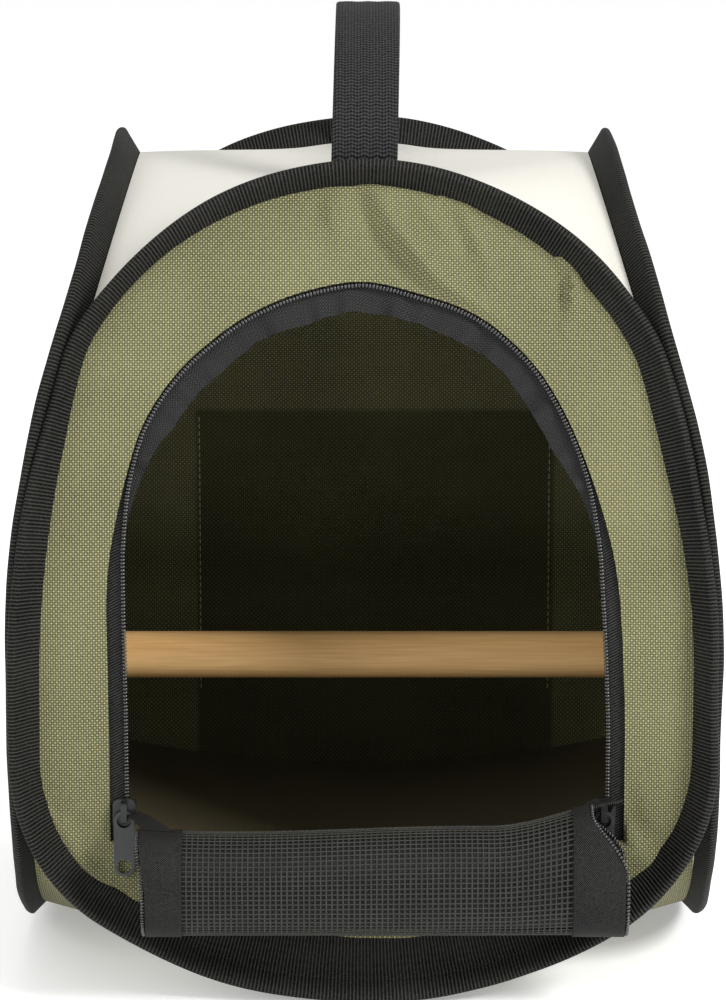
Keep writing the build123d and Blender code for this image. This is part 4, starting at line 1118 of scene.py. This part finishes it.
class CARRIER_OT_pocket(bpy.types.Operator):
    """The flat pocket on the rear wall, its hem and the two stitch lines that show inside."""

    bl_idname = "carrier.pocket"
    bl_label = "Rear pocket"

    def execute(self, context):
        pitch = context.scene.carrier_sizes.stitch_pitch * 1000
        inside = np.linspace(-POCKET_HALF, POCKET_HALF, 60)
        x_line = np.concatenate([[-POCKET_HALF] * 3, inside, [POCKET_HALF] * 3])
        share = np.concatenate([[0, 0.35, 0.7], 0 * inside + 1, [0.7, 0.35, 0]])
        z_line = np.concatenate([[POCKET_LOW_Z] * 3, np.linspace(POCKET_LOW_Z, POCKET_TOP_Z, 46)])
        lift = np.concatenate([[0, 0.35, 0.7], np.ones(46)])
        x, z = np.meshgrid(x_line, z_line)
        depth = share[None] * lift[:, None]
        wall = -wall_half(z) - 0.25

        def bellied(x, z, depth=1):
            belly = 1.4 * np.sin(math.pi * (x / POCKET_HALF + 1) / 2) * np.sin(math.pi * (z - 40) / 190)
            return -POCKET_OUT - 0.5 * np.sin(x / 11 + z / 37) * depth - belly * 0.6

        def flap(name, outer, inner, finish):
            sides = (settled(turned(side, 2)) for side in (outer, inner))
            return sheet_solid(name, *sides, outer[..., ::2], False, finish_of(finish))

        outer = np.stack([x, wall * (1 - depth) + bellied(x, z, depth) * depth, z], -1)
        normal = grid_normals(outer, np.array([0, -1.0, 0]))
        inner = outer - normal * 1.1 * np.maximum(depth, 0.15)[..., None]
        pocket = flap("pocket_cloth", outer, inner, "olive_cloth")
        cut = {"flat": (0.172, 0.137), "held": "hung", "rests_on": ["rear_wall_cloth"]}
        sewn_on(pocket, "olive_cloth", "rear_pocket", **cut)

        x, z = np.meshgrid(inside, np.linspace(POCKET_TOP_Z - 9, POCKET_TOP_Z, 5))
        under = np.stack([x, bellied(x, z) - 0.15, z], -1)
        hem = flap("pocket_hem_tape", under - [0, 0.6, 0], under, "black_tape")
        cut = {"flat": (0.152, 0.0102), "held": "laid", "rests_on": ["pocket_cloth"]}
        sewn_on(hem, "black_tape", "rear_pocket_hem", **cut)

        z = np.linspace(64, 183, 120)
        over = turned(-wall_normal(z), 2)
        stitch, thread = bead(2.5, 0.5, 0.45, 6), finish_of("thread")
        for name, x in (("left_pocket_stitches", -71.0), ("right_pocket_stitches", 80.0)):
            line = turned(on_wall(np.full(120, -x), z, -CLOTH - 1.75), 2)
            stitches = along_path(name, line, ways(line), over, *stitch, pitch, thread, 0.15, 5)
            sewn_on(stitches, "olive_cloth")
        return {"FINISHED"}


# ---------------------------------------------------------------- the rolled door


def roll_line(step=1.5):
    """The rolled door's section in y and z from its hinge seam inwards, and its outward direction."""
    points, outs = [], []
    centre = np.array(ROLL_CENTRE)
    radius = ROLL_TOP_RADIUS
    start = math.radians(25)

    def arc(middle, radius, a, b):
        count = max(6, round(radius * abs(b - a) / step))
        for k in range(count):
            turn = a + (b - a) * k / count
            outs.append((math.cos(turn), math.sin(turn)))
            points.append((middle[0] + radius * math.cos(turn), middle[1] + radius * math.sin(turn)))

    out = np.array([math.cos(start), math.sin(start)])
    lead = np.array([-out[1], out[0]])
    for back in (3.2, 1.6):
        points.append(tuple(centre + radius * out - lead * back))
        outs.append(tuple(out))
    arc(centre, radius, start, math.pi)
    for side in (-1, 1, -1):
        level = ROLL_CENTRE[1] - (ROLL_RUN if side < 0 else 0)
        end_x, end_z = points[-1]
        for k in range(6):
            points.append((end_x, end_z + side * ROLL_RUN * (k + 1) / 6.5))
            outs.append((side, 0.0))
        radius -= ROLL_STEP
        turn = math.pi if side < 0 else 0
        arc((end_x - side * radius, level), radius, turn, turn + math.pi)
    return np.array(points), np.array(outs)


def rolled(points):
    """The roll's true shape: flat over its middle, thick and high at its right end, a little uneven."""
    p = np.array(points, float)
    x, y, z = p[..., 0], p[..., 1], p[..., 2]
    rise = bpy.context.scene.carrier_sizes.roll_rise
    share = 0.87 + 0.03 * eased((x + 60) / 110) + rise * eased((x - 48) / 56)
    high = z - ROLL_BOTTOM_Z
    uneven = 0.5 * np.sin(x / 19 + 0.5) * np.sin(z / 9)
    p[..., 2] = ROLL_BOTTOM_Z + high * share + 0.4 * np.sin(x / 27) * (high / 45)
    swell = 1 + 0.04 * eased((x - 60) / 40)
    p[..., 1] = -131.2 + (y + 131.2) * swell + uneven * np.clip((-133 - y) / 10, 0, 1)
    return p


def band_piece(name, left, right, thick, finish, keep=None):
    """A strip of the rolled door between two sides, each a distance at every step of the roll."""
    line, outs = roll_line()
    if keep is not None:
        line, outs, left, right = line[keep], outs[keep], left[keep], right[keep]
    run = run_lengths(line)
    across = np.linspace(0, 1, 9)[None]
    x = left[:, None] * (1 - across) + right[:, None] * across

    def side(out):
        y = line[:, 0:1] + outs[:, 0:1] * out + 0 * x
        z = line[:, 1:2] + outs[:, 1:2] * out + 0 * x
        return rolled(np.stack([x, y, z], -1))

    uv = np.stack([np.broadcast_to(run[:, None], x.shape), x], -1)
    return sheet_solid(name, side(thick / 2), side(-thick / 2), uv, False, finish), run[-1]


# Each web of band that runs up into a slider: two spots at the slider and two on the roll.
DOOR_CORNERS = {
    "door_left_corner": (
        (-92.0, -128.9, 71.5), (-86.5, -129.6, 73.4), (-84.4, -147, 70.6), (-72.5, -149, 70.4),
    ),
    "door_right_corner": (
        (95.0, -128.9, 73.5), (89.5, -129.8, 78.6), (98.0, -148, 82.6), (80.6, -150, 79.2),
    ),
}


def rod_faces(rows):
    """The faces of a rod with four sides and its two ends."""
    faces = [tuple(face) for face in grid_faces(rows, 4, False, True)[0]]
    return [*faces, (0, 1, 2, 3), tuple(range(4 * rows - 4, 4 * rows))]


def straight(count):
    """The x direction, once for each point of a path."""
    return np.tile([1.0, 0, 0], (count, 1))


class CARRIER_OT_rolled_door(bpy.types.Operator):
    """The rolled mesh door: square threads, twill bands at both ends and the door's half of the zip."""

    bl_idname = "carrier.rolled_door"
    bl_label = "Rolled mesh door"

    def execute(self, context):
        sizes = context.scene.carrier_sizes
        pitch, thread = sizes.mesh_pitch * 1000, sizes.mesh_thread * 1000
        line, outs = roll_line()
        run = run_lengths(line)
        outer_turn = np.nonzero(run < 132)[0]
        ones = np.ones(len(line))

        in_roll = {"body": "rolled_door", "held": "folded", "rests_on": ["door_left_band_cloth"]}
        on_sill = {**in_roll, "rests_on": ["sill_tape_cloth"]}

        # the inner turns, too dark to see threads in: one sheet in painted shade, a darker copy of the mesh
        # colour
        ends = (MESH_LEFT * ones, MESH_RIGHT * ones)
        kept = slice(len(outer_turn) - 4, None)
        inner, length = band_piece("door_mesh_inner_turns", *ends, 0.6, finish_of("mesh_inner"), kept)
        sewn_on(inner, "black_mesh", flat=(0.15, length / 1000), **in_roll)

        # threads round the roll
        path, normal = line[outer_turn], outs[outer_turn]
        square = [(thread, 0), (0, thread), (-thread, 0), (0, -thread)]
        ring = [
            (dx, p[0] + n[0] * dn + HOOPS_Y, p[1] + n[1] * dn)
            for p, n in zip(path, normal)
            for dx, dn in square
        ]
        count = int((MESH_RIGHT - MESH_LEFT - 1) / pitch)
        starts = np.array([[MESH_LEFT + 0.6 + pitch * k, -HOOPS_Y, 0] for k in range(count)])
        upright = np.tile([0, 0, 1.0], (count, 1))
        black = finish_of("black_mesh")
        name, faces = "door_mesh_round_threads", rod_faces(len(path))
        rings = along_path(
            name, starts, straight(count), upright, ring, faces, pitch, black, 0.0, 7, rolled
        )
        # threads along the roll
        stations = np.linspace(MESH_LEFT, MESH_RIGHT, 26)
        rod = [(x, dn, dh) for x in stations for dn, dh in square]
        middle, over = (np.pad(pair, ((0, 0), (1, 0))) for pair in (path, normal))
        name, faces = "door_mesh_long_threads", rod_faces(len(stations))
        rods = along_path(
            name, middle, straight(len(path)), over, rod, faces, pitch, black, 0.0, 9, rolled
        )
        mesh_area = 0.15 * run[outer_turn[-1]] / 1000
        cut = {**in_roll, "flat": (0.15, mesh_area / 0.15), "area": mesh_area * 0.42}
        sewn_on(rings, "black_mesh", "door_mesh", **cut)
        sewn_on(rods, "black_mesh", **cut)

        # the bands
        left_edge = -85.5 + 2.6 * eased((run - 30) / 30)
        right_edge = 85.5 + 13.4 * eased((run - 30) / 26) * (1 - eased((run - 118) / 20))
        for name, node, low, high in (
            ("door_left_band_cloth", "door_left_band", left_edge, (MESH_LEFT + 0.8) * ones),
            ("door_right_band_cloth", "door_right_band", (MESH_RIGHT - 0.8) * ones, right_edge),
        ):
            band, length = band_piece(name, low, high, BAND_SHEET, finish_of("door_band"))
            width = 0.0195 if "right" in name else 0.0155
            sewn_on(band, "black_tape", node, flat=(width, length / 1000), **on_sill)
        # the door's half of the zip, on the bands' outer edges
        turn, coil_pitch = bead(1.05, 1.7, 1.4), sizes.coil_pitch * 1000
        over = np.pad(outs, ((0, 0), (1, 0)))
        for side, edge in (("left", left_edge - 0.8), ("right", right_edge + 0.8)):
            spine = np.column_stack([edge, line])
            name, black = f"door_{side}_zip_coil", finish_of("zip_coil")
            coil = along_path(name, spine, ways(spine), over, *turn, coil_pitch, black, 0.05, 4, rolled)
            sewn_on(coil, "zip_coil", f"door_{side}_zip_half", body="rolled_door")
        # the corners that run up into the sliders
        for name, (a, b, c, d) in DOOR_CORNERS.items():
            a, b, c, d = (np.array(spot, float) for spot in (a, b, c, d))
            t = np.linspace(0, 1, 9)[:, None, None]
            w = np.linspace(0, 1, 6)[None, :, None]
            grid = (a * (1 - w) + b * w) * (1 - t) + (c * (1 - w) + d * w) * t
            grid[..., 2] += 1.6 * np.sin(math.pi * t[..., 0]) * (1 - 0.5 * w[..., 0])
            inner = grid - grid_normals(grid, np.array([0, 0, 1.0])) * 0.9
            corner = sheet_solid(name, grid, inner, grid[..., 1::-1], False, finish_of("door_band"))
            area = surface_area(grid)
            tuple(in_frame(b))
            tuple(in_frame((c + d) / 2))
            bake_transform(corner)
            flat = (0.023, max(0.0105, area / 0.023 * 1.1))
            sewn_on(corner, "black_tape", **{**in_roll, "body": None}, flat=flat, area=area)
        return {"FINISHED"}


# ---------------------------------------------------------------- the handle


class CARRIER_OT_handle(bpy.types.Operator):
    """The webbing handle: one chunky strap, its two ends sewn down at the front and rear crowns."""

    bl_idname = "carrier.handle"
    bl_label = "Handle"

    def execute(self, context):
        foot_y, foot_z, top_z = 87.6, 321.0, 371.2
        rise = top_z - foot_z
        radius = (foot_y**2 + rise**2) / (2 * rise)
        centre_z = top_z - radius
        spread = math.atan2(foot_y, foot_z - centre_z)
        turns = np.linspace(-spread, spread, 150)
        arch = np.stack([radius * np.sin(turns), centre_z + radius * np.cos(turns)], -1)
        rise_z = np.linspace(311.8, 320.2, 6)
        front = np.stack([-89.35 + 1.7 * eased((rise_z - 311.8) / 9), rise_z], -1)
        line = np.concatenate([front, arch, (front * [-1, 1])[::-1]])
        along = ways(line)
        over = np.stack([0 * line[:, 0], -along[:, 1], along[:, 0]], -1)
        run = run_lengths(line)
        sway = 1.6 * np.sin(math.pi * run / run[-1])
        middle = np.stack([sway, line[:, 0], line[:, 1]], -1)
        upper = [(-12.7, 0), (-12.45, 0.62), (-11.6, 0.98)]
        upper += [(x, 1.05 + 0.10 * math.cos(x * 0.8)) for x in np.linspace(-9, 9, 9)]
        upper += [(11.6, 0.98), (12.45, 0.62)]
        rim = [*upper, *((-x, -y) for x, y in upper)]
        webbing = finish_of("webbing")
        x_way = straight(len(line))
        strap = swept("handle_webbing", middle, x_way, over, rim, False, webbing, 60, settled)
        # the weave runs straight across the strap, on both faces
        weave = strap.data.uv_layers["UVMap"].data
        for loop in strap.data.loops:
            weave[loop.index].uv[1] = strap.data.vertices[loop.vertex_index].co.x
        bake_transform(strap)
        cut = {"flat": (0.0254, run[-1] / 1000), "rests_on": ["front_binding", "rear_binding"]}
        sewn_on(strap, "webbing", "handle_strap", "handle_ends", body=None, held="stretched", **cut)
        return {"FINISHED"}


# ---------------------------------------------------------------- the perch, zip metal and board


class CARRIER_OT_perch(bpy.types.Operator):
    """The turned wooden perch, with the screws and washers that hold it through the side walls."""

    bl_idname = "carrier.perch"
    bl_label = "Perch"

    def execute(self, context):
        half = 500 * (PERCH_HIGH.x - PERCH_LOW.x)
        end = [(-half, 0.0), (-half, 8.3), (-half + 0.35, 9.0), (-half + 1.2, 9.45)]
        middle = [(x, 9.5) for x in np.linspace(-half + 4, half - 4, 30)]
        profile = [*end, *middle, *((-x, radius) for x, radius in reversed(end))]
        turns = np.arange(56) * 2 * math.pi / 56
        points = np.array(
            [[(x, r * math.cos(t), PERCH_Z + r * math.sin(t)) for t in turns] for x, r in profile]
        )
        rows, cols = points.shape[:2]
        faces, row, col = grid_faces(rows, cols, False, True)
        uv = np.stack([points[row % rows, 0, 0], col * 1.07], -1)
        wood = finish_of("perch_wood")
        perch = made_mesh("perch_dowel", points.reshape(-1, 3), faces, uv.reshape(-1, 2), wood)
        sewn_on(perch, "perch_wood", "perch")
        dress("perch_washers", "steel")
        dress("perch_screws", "steel")
        return {"FINISHED"}


class CARRIER_OT_sliders(bpy.types.Operator):
    """The two zip sliders and their pull tabs, in gunmetal."""

    bl_idname = "carrier.sliders"
    bl_label = "Zip sliders"

    def execute(self, context):
        for side in ("left", "right"):
            dress(f"{side}_zip_slider", "zip_metal")
            dress(f"{side}_pull_tab", "pull_metal")
        return {"FINISHED"}


class CARRIER_OT_floor_board(bpy.types.Operator):
    """The loose floor board and the dark cloth that covers it."""

    bl_idname = "carrier.floor_board"
    bl_label = "Floor board"

    def execute(self, context):
        half, corner, bow = 114.6, 12.6, 10.0
        edge_z = 1000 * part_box("floor_board_cover")[1].z + 0.2
        bow_radius = (half**2 + bow**2) / (2 * bow)
        spots = []
        for cx, cy, start in ((1, 1, 0), (-1, 1, 90), (-1, -1, 180), (1, -1, 270)):
            for k in range(9):
                turn = math.radians(start + 11.25 * k)
                middle = np.array([cx, cy]) * (half - corner)
                spots.append(middle + corner * np.array([math.cos(turn), math.sin(turn)]))
        rim = []
        for a, b in zip(spots, spots[1:] + spots[:1]):
            count = max(1, round(math.dist(a, b) / 5))
            rim += [a + (b - a) * k / count for k in range(count)]
        rim = np.array(rim)
        share = np.concatenate([[0.002], np.linspace(0.05, 0.985, 30)])[:, None]
        x, y = share * rim[:, 0], share * rim[:, 1]

        def bowed(x):
            return edge_z - bow + bow_radius - np.sqrt(bow_radius**2 - np.clip(x, -half, half) ** 2)

        def wavy(x, y):
            return bowed(x) + 0.25 * np.sin(x / 21 + y / 33) + 4.0 * eased((y - 30) / 75) * (x / half) ** 2

        rings = [np.stack([x, y, wavy(x, y)], -1)]
        for size, drop in ((1.0, 0.3), (1.006, 1.2), (1.006, 4.0)):
            rings.append(np.column_stack([rim * size, wavy(*rim.T) - drop])[None])
        outer = np.concatenate(rings)
        inner = outer.copy()
        inner[:-3, :, 2] -= 0.9
        inner[-3:, :, :2] *= 0.9935
        inner[-3, :, 2] -= 0.5
        covering = finish_of("board_cover")
        cover = sheet_solid("board_cover_cloth", outer, inner, outer[..., :2], True, covering)
        cut = {"flat": (0.237, 0.237), "held": "stretched", "rests_on": ["floor_board"], "area": 0.0555}
        sewn_on(cover, "board_cover", "floor_board_cover", body="loose_floor", **cut)
        dress("floor_board", "board")
        return {"FINISHED"}


# ---------------------------------------------------------------- the stage


class CARRIER_OT_stage(bpy.types.Operator):
    """A plain pale floor, soft studio light and the camera."""

    bl_idname = "carrier.stage"
    bl_label = "Stage"

    def execute(self, context):
        scene = context.scene
        mesh = bpy.data.meshes.new("studio_floor")
        mesh.from_pydata([(-6, -6, 0), (6, -6, 0), (6, 9, 0), (-6, 9, 0)], [], [(0, 1, 2, 3)])
        floor = placed("studio_floor", mesh)
        finish, _, shader = new_finish("pale_floor", 0.9, specular=0.1)
        shader.inputs["Base Color"].default_value = (0.90, 0.90, 0.90, 1)
        shader.inputs["Emission Color"].default_value = (1, 1, 1, 1)
        shader.inputs["Emission Strength"].default_value = 0.3
        mesh.materials.append(finish)
        floor.location.z = -0.0004

        world = bpy.data.worlds.new("studio")
        world.use_nodes = True
        background = world.node_tree.nodes["Background"]
        background.inputs["Color"].default_value = (1, 1, 1, 1)
        background.inputs["Strength"].default_value = 0.74
        scene.world = world
        for name, place, size, power in (
            ("key_light", (1.5, -1.2, 1.3), 0.6, 48.0),
            ("fill_light", (-1.4, -1.2, 0.8), 1.2, 15.0),
            ("top_light", (0.1, 0.5, 1.9), 1.2, 6.0),
        ):
            light = bpy.data.lights.new(name, "AREA")
            light.size = size
            light.energy = power
            lamp = placed(name, light)
            lamp.location = place
            aim = Vector((0, 0, 0.18)) - Vector(place)
            lamp.rotation_euler = aim.to_track_quat("-Z", "Y").to_euler()

        lens = bpy.data.cameras.new("camera")
        lens.lens = 173.8
        lens.sensor_width = 36.0
        lens.shift_x = -0.001
        lens.clip_start, lens.clip_end = 0.05, 40
        camera = placed("camera", lens)
        camera.location = (0, -1.9146, 0.5386)
        camera.rotation_euler = (math.radians(90 - 10.82), 0, 0)
        scene.camera = camera
        scene.view_settings.view_transform = "Standard"
        return {"FINISHED"}


class CARRIER_PT_panel(bpy.types.Panel):
    """Lists the carrier's sizes, colours and pieces."""

    bl_idname = "CARRIER_PT_panel"
    bl_label = "Bird travel carrier"
    bl_space_type = "VIEW_3D"
    bl_region_type = "UI"
    bl_category = "Carrier"

    def draw(self, context):
        for group in (context.scene.carrier_sizes, context.scene.carrier_colours):
            box = self.layout.box()
            for name in group.__annotations__:
                box.prop(group, name)
        for operator in OPERATORS:
            self.layout.operator(operator.bl_idname)


OPERATORS = (
    CARRIER_OT_stage,
    CARRIER_OT_walls,
    CARRIER_OT_crown_and_base,
    CARRIER_OT_bindings,
    CARRIER_OT_doorway,
    CARRIER_OT_pocket,
    CARRIER_OT_rolled_door,
    CARRIER_OT_handle,
    CARRIER_OT_perch,
    CARRIER_OT_sliders,
    CARRIER_OT_floor_board,
)
CLASSES = (CarrierSizes, CarrierColours, *OPERATORS, CARRIER_PT_panel)


def register():
    for each in CLASSES:
        bpy.utils.register_class(each)
    bpy.types.Scene.carrier_sizes = bpy.props.PointerProperty(type=CarrierSizes)
    bpy.types.Scene.carrier_colours = bpy.props.PointerProperty(type=CarrierColours)


def unregister():
    del bpy.types.Scene.carrier_colours
    del bpy.types.Scene.carrier_sizes
    for each in reversed(CLASSES):
        bpy.utils.unregister_class(each)


def main():
    """Makes every piece in order."""
    register()
    for operator in OPERATORS:
        group, name = operator.bl_idname.split(".")
        if getattr(getattr(bpy.ops, group), name)() != {"FINISHED"}:
            raise RuntimeError(f"{operator.bl_idname} did not finish")


if __name__ == "__main__":
    main()
